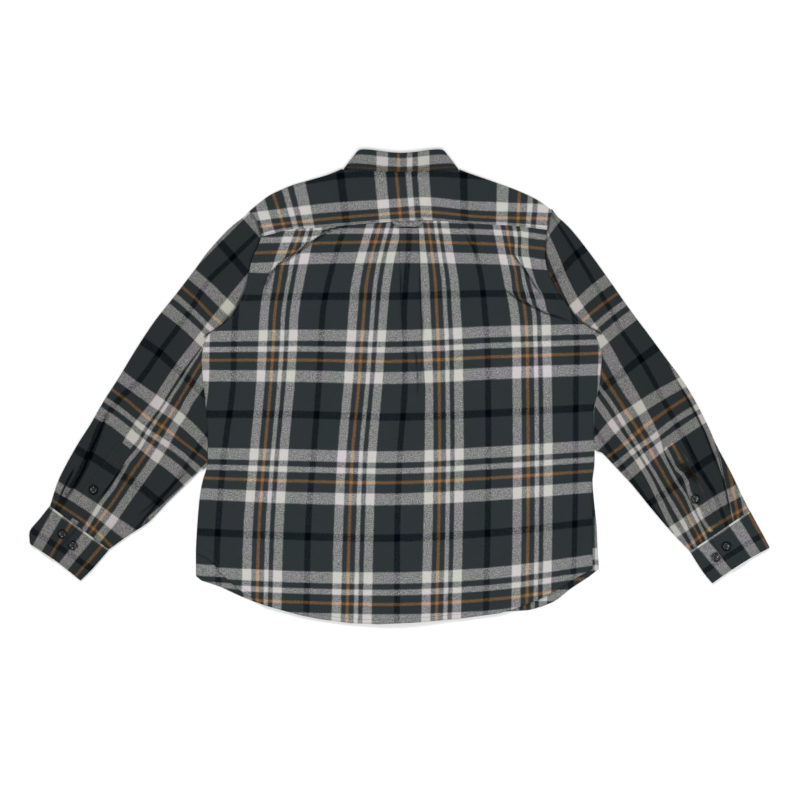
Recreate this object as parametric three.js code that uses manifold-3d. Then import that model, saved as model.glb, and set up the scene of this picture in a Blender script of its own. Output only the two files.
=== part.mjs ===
// Flannel shirt with long sleeves, laid flat on its front, so the back is on top.
// Millimetres. X runs across the shirt, Y from hem to collar, Z up from the surface it lies on.
// The origin is at the middle of the shirt's footprint, on that surface.
import * as THREE from 'three';
import { mergeVertices } from 'three/addons/utils/BufferGeometryUtils.js';
import Module from 'manifold-3d';

const wasm = await Module();
wasm.setup();

// Driving dimensions
const clothWall = 1.0;
const bandWall = 1.2;
const cuffWall = 1.8;
const collarWall = 1.4;
const seamGap = 0.3;
const seamClear = 0.6;
const bandHalfWidth = 17.5;
const sideSeamTop = 2 * clothWall + 0.4;
const bodyLoft = 4.0;
const sleeveLoft = 3.8;
const sleeveFoldHeight = 3.4;
const centreRise = 2.9;
const centreRiseWidth = 48;
const buttonDiameter = 11.5;
const buttonThickness = 2.2;
const buttonLift = buttonThickness + seamGap;
const collarHeight = 9.4;
const collarCentre = 1.5;
const neckHalfWidth = 93;
const frontNeckY = 275;
const neckDrop = 84;
const neckPower = 2.2;
const standDrop = 7.6;
const neckTop = 7.7;
const yokeTipLeft = 247;
const yokeTipRight = 252;
const foldedDepth = 5;
const edgeRiseWidth = 45;
const slackHeight = 0.25;
const buttonRim = 0.8;
const buttonDish = 0.7;

// A table is a row of column names and one row of sizes for each section
const table = (names, rows) => rows.map((row) => Object.fromEntries(names.map((name, k) => [name, row[k]])));
const lerp = (a, b, t) => a + (b - a) * t;
const clamp = (t) => Math.min(1, Math.max(0, t));
const smooth = (t) => clamp(t) ** 2 * (3 - 2 * clamp(t));

// Value of one column of a table at a key, straight between its rows
function lookUp(rows, keyName, key, column) {
  if (rows.length === 1) return rows[0][column];
  const rising = rows[0][keyName] < rows[rows.length - 1][keyName];
  const ordered = rising ? rows : [...rows].reverse();
  let k = 0;
  while (k < ordered.length - 2 && key > ordered[k + 1][keyName]) k += 1;
  const t = clamp((key - ordered[k][keyName]) / (ordered[k + 1][keyName] - ordered[k][keyName]));
  return lerp(ordered[k][column], ordered[k + 1][column], t);
}

// Smooth curve through a table of x and y, at x
function curveAt(rows, x) {
  let k = 0;
  while (k < rows.length - 2 && x > rows[k + 1].x) k += 1;
  const slope = (i) => {
    const before = rows[Math.max(0, i - 1)];
    const after = rows[Math.min(rows.length - 1, i + 1)];
    return (after.y - before.y) / (after.x - before.x);
  };
  const span = rows[k + 1].x - rows[k].x;
  const t = clamp((x - rows[k].x) / span);
  const start = (1 + 2 * t) * (1 - t) ** 2 * rows[k].y + t * (1 - t) ** 2 * span * slope(k);
  const end = t ** 2 * (3 - 2 * t) * rows[k + 1].y + t ** 2 * (t - 1) * span * slope(k + 1);
  return start + end;
}

// Armhole seams from the shoulder tip to the underarm. Rows 0 to 2 are the yoke's ends.
const armhole = table(['leftX', 'leftY', 'rightX', 'rightY'], [
  [-247, 289, 252, 291],
  [-235, 274, 247, 278],
  [-227, 249, 243, 259],
  [-233, 231, 241, 236],
  [-242, 213, 240, 212],
  [-247, 195, 247, 183],
  [-250, 175, 258, 162],
  [-257, 155, 270, 144],
  [-270, 129, 286, 121],
  [-293, 101, 306, 101],
  [-322, 82, 332, 87],
]);
const yokeEndRow = 2;

// Side seams from the underarm down. The fronts reach lower and a little wider than the back.
const sideSeam = table(['leftX', 'leftY', 'rightX', 'rightY', 'frontLeftY', 'frontRightX', 'frontRightY'], [
  [-328, 55, 334, 55, 55, 334, 55],
  [-325, 20, 333, 15, 18, 333, 15],
  [-320, -30, 321, -28, -34, 321, -28],
  [-316, -80, 321, -72, -86, 321, -72],
  [-318, -130, 323, -105, -138, 323, -105],
  [-326, -165, 318, -158, -180, 319, -158],
  [-331, -200, 318, -204, -224, 325, -204],
  [-335, -238, 318, -254, -268, 328, -254],
  [-336, -275, 318, -302, -312, 329, -302],
]);

// Yoke seam across the back, and the hems of the back and of the fronts
const yokeSeam = table(['x', 'y'], [
  [-227, 249], [-189, 259], [-131, 263], [-65, 267], [0, 272], [50, 274], [133, 269], [199, 265], [243, 259],
]);
const backHem = table(['x', 'y'], [
  [-336, -275], [-313, -287], [-298, -305], [-276, -325], [-255, -343], [-224, -361], [-164, -378],
  [-82, -391], [-32, -392], [67, -386], [166, -374], [215, -359], [247, -344], [273, -328], [303, -309],
  [318, -302],
]);
const frontHem = table(['x', 'y'], [
  [-336, -312], [-329, -320], [-296, -330], [-263, -345], [-214, -363], [-164, -374], [-82, -384],
  [0, -386], [83, -381], [166, -374], [209, -370], [258, -354], [281, -335], [314, -313], [329, -302],
]);

// Shoulder fold from the neck to the tip
const shoulderFold = table(['leftX', 'leftY', 'rightX', 'rightY'], [
  [-95, 358.5, 97, 358.5],
  [-115, 350, 115, 350],
  [-148, 340, 149, 339],
  [-181, 330, 182, 327],
  [-214, 315, 215, 314],
  [-235, 302, 240, 302],
  [-247, 290, 252, 292],
]);
const frontYokeNeckX = 73;

// Centre box pleat: its edges, how deep each edge is folded under, and how high it stands
const pleat = table(['y', 'left', 'right', 'depth', 'rise'], [
  [275, 0, 31, 13, 2.6],
  [142, 2, 34, 9, 2.6],
  [68, 5, 35, 6, 2.6],
  [10, 5, 34, 2, 1.6],
  [-60, 6, 32, 0, 0.6],
  [-400, 6, 32, 0, 0.1],
]);

// Soft folds of the body and sleeves: a ridge from one end to the other
const bodyFolds = table(['fromX', 'fromY', 'toX', 'toY', 'halfWidth', 'height'], [
  [-110, 256, -165, 222, 17, 1.6],
  [-165, 222, -215, 180, 18, 2.0],
  [-215, 180, -232, 140, 18, 1.2],
  [118, 244, 134, 205, 15, 1.2],
  [186, 226, 222, 180, 16, 1.6],
  [172, 166, 246, 122, 17, 1.6],
  [24, 75, 32, 5, 16, 1.0],
  [-60, 180, -100, -60, 26, 0.9],
  [120, 60, 145, -150, 28, 0.8],
  [-270, 60, -200, -30, 24, 1.0],
  [285, 55, 215, -20, 24, 1.0],
  [-250, -120, -236, -260, 26, 0.7],
  [235, -150, 250, -290, 24, 0.8],
  [10, -150, 0, -330, 28, 0.6],
]);

// Sleeves pressed flat, from armhole to cuff: the outer fold and the lower fold at each station
const leftSleeve = table(['outerX', 'outerY', 'lowerX', 'lowerY'], [
  [-247, 287, -322, 82],
  [-281, 260, -326, 75],
  [-316, 222, -330, 62],
  [-336, 195, -332, 44],
  [-369, 152, -330, 18],
  [-400, 113, -325, -22],
  [-433, 65, -320.5, -75],
  [-461, 18, -321.5, -131],
  [-486, -21, -350, -162],
  [-511, -64, -384, -196],
  [-535, -102, -414, -224],
  [-562, -153, -447, -246],
  [-577, -198, -479, -269],
]);
const rightSleeve = table(['outerX', 'outerY', 'lowerX', 'lowerY'], [
  [253, 289, 332, 87],
  [282, 260, 336, 80],
  [314, 220, 339, 67],
  [347, 174, 340, 48],
  [380, 127, 339, 20],
  [413, 83, 332, -16],
  [443, 42, 325, -60],
  [474, -1, 327, -106],
  [501, -49, 357, -131],
  [524, -99, 387, -166],
  [547, -142, 417, -203],
  [565, -180, 449, -240],
  [578, -206, 479, -272],
]);

// How the lengthwise lines of a sleeve share its width, above the slit and at the cuff
const leftShare = table(['slit', 'cuff'], [
  [0, 0], [0.08, 0.09], [0.16, 0.17], [0.24, 0.25], [0.315, 0.36], [0.39, 0.47],
  [0.51, 0.58], [0.63, 0.69], [0.75, 0.8], [0.88, 0.9], [1, 1],
]);
const rightShare = table(['slit', 'cuff'], [
  [0, 0], [0.09, 0.12], [0.18, 0.24], [0.27, 0.36], [0.36, 0.47], [0.44, 0.575],
  [0.52, 0.68], [0.64, 0.76], [0.76, 0.84], [0.88, 0.92], [1, 1],
]);

// Folds of the sleeves, placed along the sleeve (0 armhole to 1 cuff) and across it (0 outer to 1 lower)
const sleeveFolds = table(['side', 'fromAlong', 'fromAcross', 'toAlong', 'toAcross', 'halfWidth', 'height'], [
  [-1, 0.64, 0.12, 0.97, 0.2, 0.07, 1.6],
  [-1, 0.84, 0.62, 1.0, 0.56, 0.06, 1.2],
  [-1, 0.86, 0.84, 1.0, 0.76, 0.06, 1.0],
  [-1, 0.12, 0.55, 0.42, 0.8, 0.1, 1.3],
  [-1, 0.3, 0.3, 0.6, 0.55, 0.1, 0.9],
  [1, 0.44, 0.08, 0.86, 0.12, 0.07, 1.6],
  [1, 0.84, 0.28, 1.0, 0.34, 0.06, 1.2],
  [1, 0.86, 0.84, 1.0, 0.8, 0.06, 1.0],
  [1, 0.1, 0.6, 0.4, 0.82, 0.1, 1.3],
  [1, 0.4, 0.4, 0.7, 0.62, 0.1, 1.0],
]);

// Cuffs: the two folded edges from the sleeve seam to the opening
const leftCuff = table(['outerX', 'outerY', 'lowerX', 'lowerY'], [
  [-577.5, -198.8, -479.6, -270],
  [-593, -219, -494, -287],
  [-610, -239, -509, -304],
  [-611, -260, -526, -321],
]);
const rightCuff = table(['outerX', 'outerY', 'lowerX', 'lowerY'], [
  [578.6, -206.8, 479.6, -273],
  [590, -227, 491, -292],
  [601, -247, 502, -308],
  [611, -266, 516, -325],
]);
const leftCuffLap = 0.47;
const rightCuffLap = 0.66;
const cuffUnderlap = 0.21;

// Places of the buttons
const cuffButtons = table(['name', 'x', 'y', 'level'], [
  ['button_cuff_left_1', -556, -244, 1],
  ['button_cuff_left_2', -539, -263, 0],
  ['button_cuff_right_1', 539, -264, 1],
  ['button_cuff_right_2', 522, -282, 0],
]);
const gauntletButtons = table(['name', 'x', 'y', 'side'], [
  ['button_gauntlet_left', -505, -171, -1],
  ['button_gauntlet_right', 488, -186, 1],
]);
const frontButtonTop = 215;
const frontButtonSpacing = 100;
const frontButtonCount = 6;
const standButtonY = 289;

// Materials
const flannel = new THREE.MeshStandardMaterial({ color: 0x55585a, roughness: 0.95, metalness: 0 });
const flannelBand = new THREE.MeshStandardMaterial({ color: 0x6b6c6b, roughness: 0.95, metalness: 0 });
const buttonPlastic = new THREE.MeshStandardMaterial({ color: 0x1a1c1e, roughness: 0.35, metalness: 0 });

const group = new THREE.Group();

function addNode(name, geometry, material, position = [0, 0, 0]) {
  const mesh = new THREE.Mesh(geometry, material);
  mesh.name = name;
  mesh.position.set(...position);
  group.add(mesh);
  return mesh;
}

// A wall of cloth between two grids of points. Cells can be left out, and a ring closes on itself.
function clothGeometry(outer, inner, { ring = false, has = () => true } = {}) {
  const rows = outer.length;
  const columns = outer[0].length;
  const vertexCount = rows * columns;
  const positions = [...outer.flat(), ...inner.flat()].flatMap((p) => [p.x, p.y, p.z]);
  const triangles = [];
  const edges = new Map();
  const noteEdge = (a, b) => edges.set(`${a} ${b}`, [a, b]);
  for (let i = 0; i < rows - 1; i += 1) {
    for (let j = 0; j < (ring ? columns : columns - 1); j += 1) {
      if (!has(i, j)) continue;
      const next = (j + 1) % columns;
      const corners = [i * columns + j, i * columns + next, (i + 1) * columns + next, (i + 1) * columns + j];
      const [a, b, c, d] = corners;
      triangles.push([a, b, c], [a, c, d]);
      const [e, f, g, h] = corners.map((k) => k + vertexCount);
      triangles.push([e, g, f], [e, h, g]);
      corners.forEach((corner, k) => noteEdge(corner, corners[(k + 1) % 4]));
    }
  }
  for (const [a, b] of edges.values()) {
    if (edges.has(`${b} ${a}`)) continue;
    triangles.push([b, a, a + vertexCount], [b, a + vertexCount, b + vertexCount]);
  }
  const point = (k) => new THREE.Vector3(positions[3 * k], positions[3 * k + 1], positions[3 * k + 2]);
  let volume = 0;
  for (const [a, b, c] of triangles) volume += point(a).dot(point(b).cross(point(c)));
  const facing = volume < 0 ? triangles.map(([a, b, c]) => [a, c, b]) : triangles;
  const geometry = new THREE.BufferGeometry();
  geometry.setAttribute('position', new THREE.Float32BufferAttribute(positions, 3));
  geometry.setIndex(facing.flat());
  return geometry;
}

// A wall that is a sheet of heights: the outer face at each point and the wall's thickness under it
function sheetGeometry(points, thickness, options) {
  const inner = points.map((row) => row.map((p) => new THREE.Vector3(p.x, p.y, p.z - thickness)));
  return clothGeometry(points, inner, options);
}

// Height of a set of ridges at a point of the plane they are laid in
function ridgeHeight(ridges, x, y) {
  let height = 0;
  for (const ridge of ridges) {
    const dx = ridge.toX - ridge.fromX;
    const dy = ridge.toY - ridge.fromY;
    const t = ((x - ridge.fromX) * dx + (y - ridge.fromY) * dy) / (dx * dx + dy * dy);
    const along = clamp(t);
    const away = Math.hypot(x - ridge.fromX - along * dx, y - ridge.fromY - along * dy);
    height = Math.max(height, ridge.height * Math.exp(-((away / ridge.halfWidth) ** 2)));
  }
  return height;
}

// Neck line on the front and on the back
const neckFrontY = (x) => frontNeckY + neckDrop * (Math.abs(x) / neckHalfWidth) ** neckPower;
const neckFrontX = (y) => neckHalfWidth * ((y - frontNeckY) / neckDrop) ** (1 / neckPower);
const neckBackY = (x) => 356 + 2.5 * (Math.abs(x) / neckHalfWidth) ** 2;

// The collar's front points lie under the fronts, which are raised over them
const underCollar = collarWall + seamGap;
const collarZoneHalfWidth = 150;
const collarZoneLowY = 190;
const collarZone = (x, y) => {
  const acrossFade = clamp((collarZoneHalfWidth - Math.abs(x)) / 40);
  return acrossFade * clamp((y - collarZoneLowY) / 30);
};
const floorUnder = (x, y) => underCollar * collarZone(x, y);

// Front buttons lie under the placket, which rises over each one
const frontButtonLevels = [];
for (let k = 0; k < frontButtonCount; k += 1) frontButtonLevels.push(frontButtonTop - k * frontButtonSpacing);
const bumpFlat = 7.5;
const bumpReach = 20;
function buttonBump(x, y) {
  const acrossFall = clamp((bandHalfWidth - Math.abs(x)) / (bandHalfWidth - bumpFlat));
  const nearest = Math.min(...frontButtonLevels.map((level) => Math.abs(y - level)));
  return buttonLift * acrossFall * clamp((bumpReach - nearest) / (bumpReach - bumpFlat));
}

// Height of the back's outer face
function backHeight(x, y, edgeDistance) {
  const rise = smooth(edgeDistance / edgeRiseWidth);
  const centre = Math.exp(-(((x - 5) / centreRiseWidth) ** 2));
  const slack = slackHeight * (Math.sin(x / 37 + y / 61) + Math.sin(y / 43 - x / 90));
  const overFronts = bodyLoft + 0.8 * floorUnder(x, y) + slack;
  const overBands = bodyLoft + centreRise;
  const loft = lerp(overFronts, overBands, centre) + ridgeHeight(bodyFolds, x, y) - sideSeamTop;
  return sideSeamTop + rise * loft;
}

// Edge points of a panel: the armhole, then the side seam with extra levels between its rows
function panelEdges(side, front) {
  const left = side < 0;
  const points = [];
  for (let k = yokeEndRow; k < armhole.length; k += 1) {
    const row = armhole[k];
    points.push(left ? [row.leftX, row.leftY] : [row.rightX, row.rightY]);
  }
  const steps = front ? 1 : 2;
  for (const row of sideSeam) {
    const target = left
      ? [row.leftX, front ? row.frontLeftY : row.leftY]
      : [front ? row.frontRightX : row.rightX, front ? row.frontRightY : row.rightY];
    const start = points[points.length - 1];
    for (let k = 1; k <= steps; k += 1) {
      points.push([lerp(start[0], target[0], k / steps), lerp(start[1], target[1], k / steps)]);
    }
  }
  return points;
}

// Level of a panel's point between its two edges, its top line and its hem
function panelY(share, left, right, down, top, hem) {
  const [firstLeft, firstRight, lastLeft, lastRight] = top.ends;
  const straight = lerp(left[1], right[1], share);
  const topBow = top.y(lerp(firstLeft[0], firstRight[0], share)) - lerp(firstLeft[1], firstRight[1], share);
  const hemBow = hem(lerp(lastLeft[0], lastRight[0], share)) - lerp(lastLeft[1], lastRight[1], share);
  return straight + (1 - down) * topBow + down * hemBow;
}

// Back panel, with the two edges of the box pleat folded under
function makeBack() {
  const left = panelEdges(-1, false);
  const right = panelEdges(1, false);
  const last = left.length - 1;
  const top = {
    ends: [left[0], right[0], left[last], right[last]],
    y: (x) => curveAt(yokeSeam, x) - seamClear,
  };
  const hem = (x) => curveAt(backHem, x);
  const sideShares = [0, 0.035, 0.11, 0.2, 0.3, 0.4, 0.5, 0.6, 0.7, 0.8, 0.9];
  const topMiddleY = (left[0][1] + right[0][1]) / 2;
  const hemMiddleY = (left[last][1] + right[last][1]) / 2;
  const outer = [];
  const inner = [];
  left.forEach((leftPoint, i) => {
    const rightPoint = right[i];
    const middleY = (leftPoint[1] + rightPoint[1]) / 2;
    const down = (topMiddleY - middleY) / (topMiddleY - hemMiddleY);
    const width = rightPoint[0] - leftPoint[0];
    const centreY = panelY(0.5, leftPoint, rightPoint, down, top, hem);
    const at = (column) => lookUp(pleat, 'y', centreY, column);
    const relax = 1 - clamp(at('depth') / foldedDepth);
    const outerRow = [];
    const innerRow = [];
    const addPoint = (x, raised, angle, reach) => {
      const share = (x - leftPoint[0]) / width;
      const y = panelY(share, leftPoint, rightPoint, down, top, hem);
      const edgeDistance = Math.min(x - leftPoint[0], rightPoint[0] - x);
      const middleZ = backHeight(x, y, edgeDistance) - clothWall / 2 + raised;
      const offX = (clothWall / 2) * reach * Math.cos(angle);
      const offZ = (clothWall / 2) * reach * Math.sin(angle);
      outerRow.push(new THREE.Vector3(x + offX, y, middleZ + offZ));
      innerRow.push(new THREE.Vector3(x - offX, y, middleZ - offZ));
    };
    const flat = Math.PI / 2;
    const corner = lerp(Math.SQRT2, 1, relax);
    const outwardTurn = lerp(0.75 * Math.PI, flat, relax);
    const underTurn = lerp(1.25 * Math.PI, flat, relax);
    const foldPoints = (edge, toward) => {
      const mirror = (angle) => (toward > 0 ? angle : Math.PI - angle);
      const rise = at('rise');
      const lean = 0.15 * relax;
      return [
        [edge + toward * (at('depth') - 7 * relax), 0, mirror(outwardTurn), corner],
        [edge + toward * (at('depth') - 2.5 * relax), rise * (0.5 - lean), mirror(underTurn), corner],
        [edge + toward * 2.5 * relax, rise * (0.5 + lean), mirror(underTurn), corner],
        [edge + toward * 7 * relax, rise, mirror(outwardTurn), corner],
      ];
    };
    for (const share of sideShares) addPoint(lerp(leftPoint[0], at('left') - 8 * relax, share), 0, flat, 1);
    for (const fold of foldPoints(at('left'), 1)) addPoint(...fold);
    addPoint((at('left') + at('right')) / 2, at('rise'), flat, 1);
    for (const fold of foldPoints(at('right'), -1).reverse()) addPoint(...fold);
    for (const share of [...sideShares].reverse()) {
      addPoint(lerp(rightPoint[0], at('right') + 8 * relax, share), 0, flat, 1);
    }
    outer.push(outerRow);
    inner.push(innerRow);
  });
  addNode('back', clothGeometry(outer, inner), flannel);
}

// A front panel lies flat under the back. Its inner edge meets the band at the centre front.
function makeFront(side) {
  const edge = panelEdges(side, true);
  const last = edge.length - 1;
  const innerX = side * (bandHalfWidth + seamGap);
  const yokeEnd = armhole[yokeEndRow];
  const yokeEndX = side < 0 ? -yokeEnd.leftX : yokeEnd.rightX;
  const yokeEndY = side < 0 ? yokeEnd.leftY : yokeEnd.rightY;
  const neckSeamY = neckFrontY(frontYokeNeckX);
  const topY = (x) => {
    if (Math.abs(x) < frontYokeNeckX) return neckFrontY(x) - seamClear;
    const t = (Math.abs(x) - frontYokeNeckX) / (yokeEndX - frontYokeNeckX);
    return lerp(neckSeamY, yokeEndY, t) - seamClear;
  };
  const outerX = edge[0][0];
  const kink = (outerX - side * frontYokeNeckX) / (outerX - innerX);
  const neckShare = (x) => (outerX - side * x) / (outerX - innerX);
  const shares = [0, 0.05, 0.16, 0.32, 0.5, kink, neckShare(55), neckShare(36), neckShare(26), 1];
  const innerTopY = topY(innerX);
  const innerHemY = curveAt(frontHem, innerX);
  const top = { ends: [edge[0], [innerX, innerTopY], edge[last], [innerX, innerHemY]], y: topY };
  const hem = (x) => curveAt(frontHem, x);
  const points = edge.map((edgePoint, i) => {
    const down = (edge[0][1] - edgePoint[1]) / (edge[0][1] - edge[last][1]);
    const innerPoint = [innerX, lerp(innerTopY, innerHemY, down)];
    return shares.map((share) => {
      const x = lerp(edgePoint[0], innerX, share);
      const y = i === 0 && share === 0
        ? edgePoint[1] - seamClear
        : panelY(share, edgePoint, innerPoint, down, top, hem);
      const stepUp = side > 0 ? (bandWall + seamGap) * clamp((28 - x) / 8) : 0;
      return new THREE.Vector3(x, y, clothWall + floorUnder(x, y) + stepUp);
    });
  });
  addNode(side < 0 ? 'front_left' : 'front_right', sheetGeometry(points, clothWall), flannel);
}

// Placket and button band: two strips down the centre front, one over the other
function makeBands() {
  const columns = [-bandHalfWidth, -bumpFlat, bumpFlat, bandHalfWidth];
  const topY = frontNeckY - seamClear;
  const levels = [topY];
  for (const level of frontButtonLevels) {
    for (const off of [bumpReach, bumpFlat, -bumpFlat, -bumpReach]) levels.push(level + off);
  }
  levels.push(frontButtonLevels[frontButtonCount - 1] - 69);
  const strip = (base, wall) => levels.map((level, i) => columns.map((x) => {
    const y = i === levels.length - 1 ? curveAt(frontHem, x) : level;
    return new THREE.Vector3(x, y, base + wall + Math.max(floorUnder(x, y), buttonBump(x, y)));
  }));
  addNode('placket', sheetGeometry(strip(0, bandWall), bandWall), flannelBand);
  addNode('button_band', sheetGeometry(strip(bandWall + seamGap, clothWall), clothWall), flannel);
}

// Yoke: from the seam on the back, over the shoulder folds, to the seams on the front
function makeYoke() {
  const leftColumns = [-yokeTipLeft, -235, -214, -181, -148, -120, -95];
  const neckColumns = [-85, -60, -30, 0, 15.5, 31, 60, 85];
  const rightColumns = [97, 120, 149, 182, 215, 240, yokeTipRight];
  const columns = [...leftColumns, ...neckColumns, ...rightColumns];
  const leftNeck = leftColumns.length - 1;
  const rightNeck = leftNeck + neckColumns.length + 1;
  const isNeck = (j) => j > leftNeck && j < rightNeck;
  const backShares = [0, 0.25, 0.5, 0.75, 1];
  const foldAngles = [90, 40, 0, -40, -90];
  const frontShares = [0.5, 1];
  const foldY = (x) => {
    if (x < 0) return lookUp(shoulderFold, 'leftX', x, 'leftY');
    return lookUp(shoulderFold, 'rightX', x, 'rightY');
  };
  const neckFloor = (x) => {
    const overLeaf = underCollar * clamp((collarZoneHalfWidth - Math.abs(x)) / 38);
    return overLeaf + 1.1 * clamp((112 - Math.abs(x)) / 17);
  };
  const shoulderTop = (x) => lerp(neckTop, sleeveFoldHeight + 0.4, smooth((Math.abs(x) - 95) / 130));
  const seamTop = (x, y, edgeDistance) => {
    const pleatRise = 2.4 * Math.exp(-(((x - 15.5) / 42) ** 2));
    return backHeight(x, y, edgeDistance) + pleatRise;
  };
  const outer = [];
  const inner = [];
  const rowOf = (place) => {
    const outerRow = [];
    const innerRow = [];
    columns.forEach((x, j) => {
      const { point, normal } = place(x, j);
      outerRow.push(point);
      innerRow.push(point.clone().addScaledVector(normal, -clothWall));
    });
    outer.push(outerRow);
    inner.push(innerRow);
  };
  const up = new THREE.Vector3(0, 0, 1);
  const backSeam = { left: armhole[yokeEndRow].leftX, right: armhole[yokeEndRow].rightX };
  const seamX = (x) => (x < 0 ? (x * -backSeam.left) / yokeTipLeft : (x * backSeam.right) / yokeTipRight);
  const radiusAt = (x) => (shoulderTop(x) - neckFloor(x)) / 2;
  const endBow = (x, share) => {
    const bow = 4 * share * (1 - share);
    const near = clamp((Math.abs(x) - 200) / 50);
    return { x: (x < 0 ? 2 : -0.5) * bow * near, y: (x < 0 ? 5 : 3) * bow * near };
  };
  for (const share of backShares) {
    rowOf((x, j) => {
      const topLine = isNeck(j) ? neckBackY(x) : foldY(x) - radiusAt(x);
      const lowX = seamX(x);
      const low = curveAt(yokeSeam, lowX);
      const bow = endBow(x, share);
      const px = lerp(lowX, x, share) + bow.x;
      const py = lerp(low, topLine, share) + bow.y;
      const edgeDistance = Math.min(px + yokeTipLeft, yokeTipRight - px);
      const topZ = isNeck(j) ? neckTop : shoulderTop(x);
      const pz = lerp(seamTop(lowX, low, edgeDistance), topZ, smooth(share));
      return { point: new THREE.Vector3(px, py, pz), normal: up };
    });
  }
  for (const degrees of foldAngles.slice(1)) {
    rowOf((x, j) => {
      const angle = THREE.MathUtils.degToRad(degrees);
      const radius = radiusAt(x);
      const y = isNeck(j) ? neckBackY(x) : foldY(x) - radius + radius * Math.cos(angle);
      const z = shoulderTop(x) - radius + radius * Math.sin(angle);
      return {
        point: new THREE.Vector3(x, y, z),
        normal: new THREE.Vector3(0, Math.cos(angle), Math.sin(angle)),
      };
    });
  }
  for (const share of frontShares) {
    rowOf((x) => {
      const side = Math.sign(x) || 1;
      const seamEnd = armhole[yokeEndRow];
      const low = {
        x: side < 0 ? seamEnd.leftX : seamEnd.rightX,
        y: side < 0 ? seamEnd.leftY : seamEnd.rightY,
      };
      const high = { x: side * frontYokeNeckX, y: neckFrontY(frontYokeNeckX) };
      const tip = side < 0 ? yokeTipLeft : yokeTipRight;
      const t = (tip - Math.abs(x)) / (tip - (side < 0 ? 95 : 97));
      const seamPoint = { x: lerp(low.x, high.x, t), y: lerp(low.y, high.y, t) };
      const start = foldY(x) - radiusAt(x);
      const bow = endBow(x, share);
      const py = lerp(start, seamPoint.y, share) + bow.y;
      const straightX = lerp(x, seamPoint.x, share) + bow.x;
      const atNeck = t > 0.99;
      const px = atNeck ? side * (neckFrontX(py) + seamClear) : straightX;
      const floor = lerp(neckFloor(x), floorUnder(px, py), share);
      return { point: new THREE.Vector3(px, py, floor), normal: new THREE.Vector3(0, 0, -1) };
    });
  }
  const lastBackCell = backShares.length - 1;
  const has = (i, j) => i < lastBackCell || j < leftNeck || j >= rightNeck;
  addNode('yoke', clothGeometry(outer, inner, { has }), flannel);
}

// Places along a sleeve between the armhole and the cuff seam
const sleeveRows = [0, 0.02, 0.05, 0.09, 0.14, 0.2, 0.26, 0.32, 0.38, 0.44, 0.5, 0.56, 0.62, 0.68, 0.74, 0.79,
  0.84, 0.89, 0.94, 1];
const gauntletStart = 14;
const gauntletColumns = { left: [3, 4, 5], right: [4, 5, 6] };

// Grid of a sleeve's top face: lengthwise lines from the armhole's points to the cuff
function sleeveGrid(side) {
  const stations = side < 0 ? leftSleeve : rightSleeve;
  const share = side < 0 ? leftShare : rightShare;
  const folds = sleeveFolds
    .filter((fold) => fold.side === side)
    .map((fold) => ({
      fromX: fold.fromAlong,
      fromY: fold.fromAcross,
      toX: fold.toAlong,
      toY: fold.toAcross,
      halfWidth: fold.halfWidth,
      height: fold.height,
    }));
  const armPoints = armhole.map((row) => (side < 0 ? [row.leftX, row.leftY] : [row.rightX, row.rightY]));
  const lengths = armPoints.map((point, k) => {
    const before = armPoints[Math.max(0, k - 1)];
    return Math.hypot(point[0] - before[0], point[1] - before[1]);
  });
  const total = lengths.reduce((sum, length) => sum + length, 0);
  let run = 0;
  const armShare = lengths.map((length) => {
    run += length;
    return run / total;
  });
  const first = armPoints[0];
  const lastPoint = armPoints[armPoints.length - 1];
  const bow = armPoints.map((point, k) => [
    point[0] - lerp(first[0], lastPoint[0], armShare[k]),
    point[1] - lerp(first[1], lastPoint[1], armShare[k]),
  ]);
  const at = (along, column) => {
    const k = Math.min(stations.length - 2, Math.floor(along * (stations.length - 1)));
    return lerp(stations[k][column], stations[k + 1][column], along * (stations.length - 1) - k);
  };
  return sleeveRows.map((along) => {
    const outerFold = [at(along, 'outerX'), at(along, 'outerY')];
    const lowerFold = [at(along, 'lowerX'), at(along, 'lowerY')];
    const width = Math.hypot(lowerFold[0] - outerFold[0], lowerFold[1] - outerFold[1]);
    const across = [(lowerFold[0] - outerFold[0]) / width, (lowerFold[1] - outerFold[1]) / width];
    const height = lerp(sideSeamTop + 0.2, sleeveFoldHeight, smooth(along / 0.09));
    const radius = height / 2;
    const fade = (1 - along) ** 6;
    const points = armPoints.map((armPoint, k) => {
      const spread = clamp(along / 0.3);
      const evened = lerp(armShare[k], k / (armPoints.length - 1), 0.5 * spread);
      const toSlit = lerp(evened, share[k].slit, clamp((along - 0.2) / 0.5));
      const s = lerp(toSlit, share[k].cuff, clamp((along - 0.76) / 0.24));
      const inset = radius + s * (width - 2 * radius);
      let x = outerFold[0] + across[0] * inset + bow[k][0] * fade;
      let y = outerFold[1] + across[1] * inset + bow[k][1] * fade;
      if (along === 0) {
        const before = armPoints[Math.max(0, k - 1)];
        const after = armPoints[Math.min(armPoints.length - 1, k + 1)];
        const length = Math.hypot(after[0] - before[0], after[1] - before[1]);
        x = armPoint[0] + (side * -(after[1] - before[1]) * seamClear) / length;
        y = armPoint[1] + (side * (after[0] - before[0]) * seamClear) / length;
      }
      const edgeRise = smooth((Math.min(s, 1 - s) * width) / 16) * smooth(along / 0.07);
      const puff = sleeveLoft - sleeveFoldHeight + 0.2 * Math.sin(x / 31 + y / 47);
      const lift = edgeRise * (puff + ridgeHeight(folds, along, s));
      return new THREE.Vector3(x, y, height + lift);
    });
    return { points, outerFold, lowerFold, height, across };
  });
}

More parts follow.
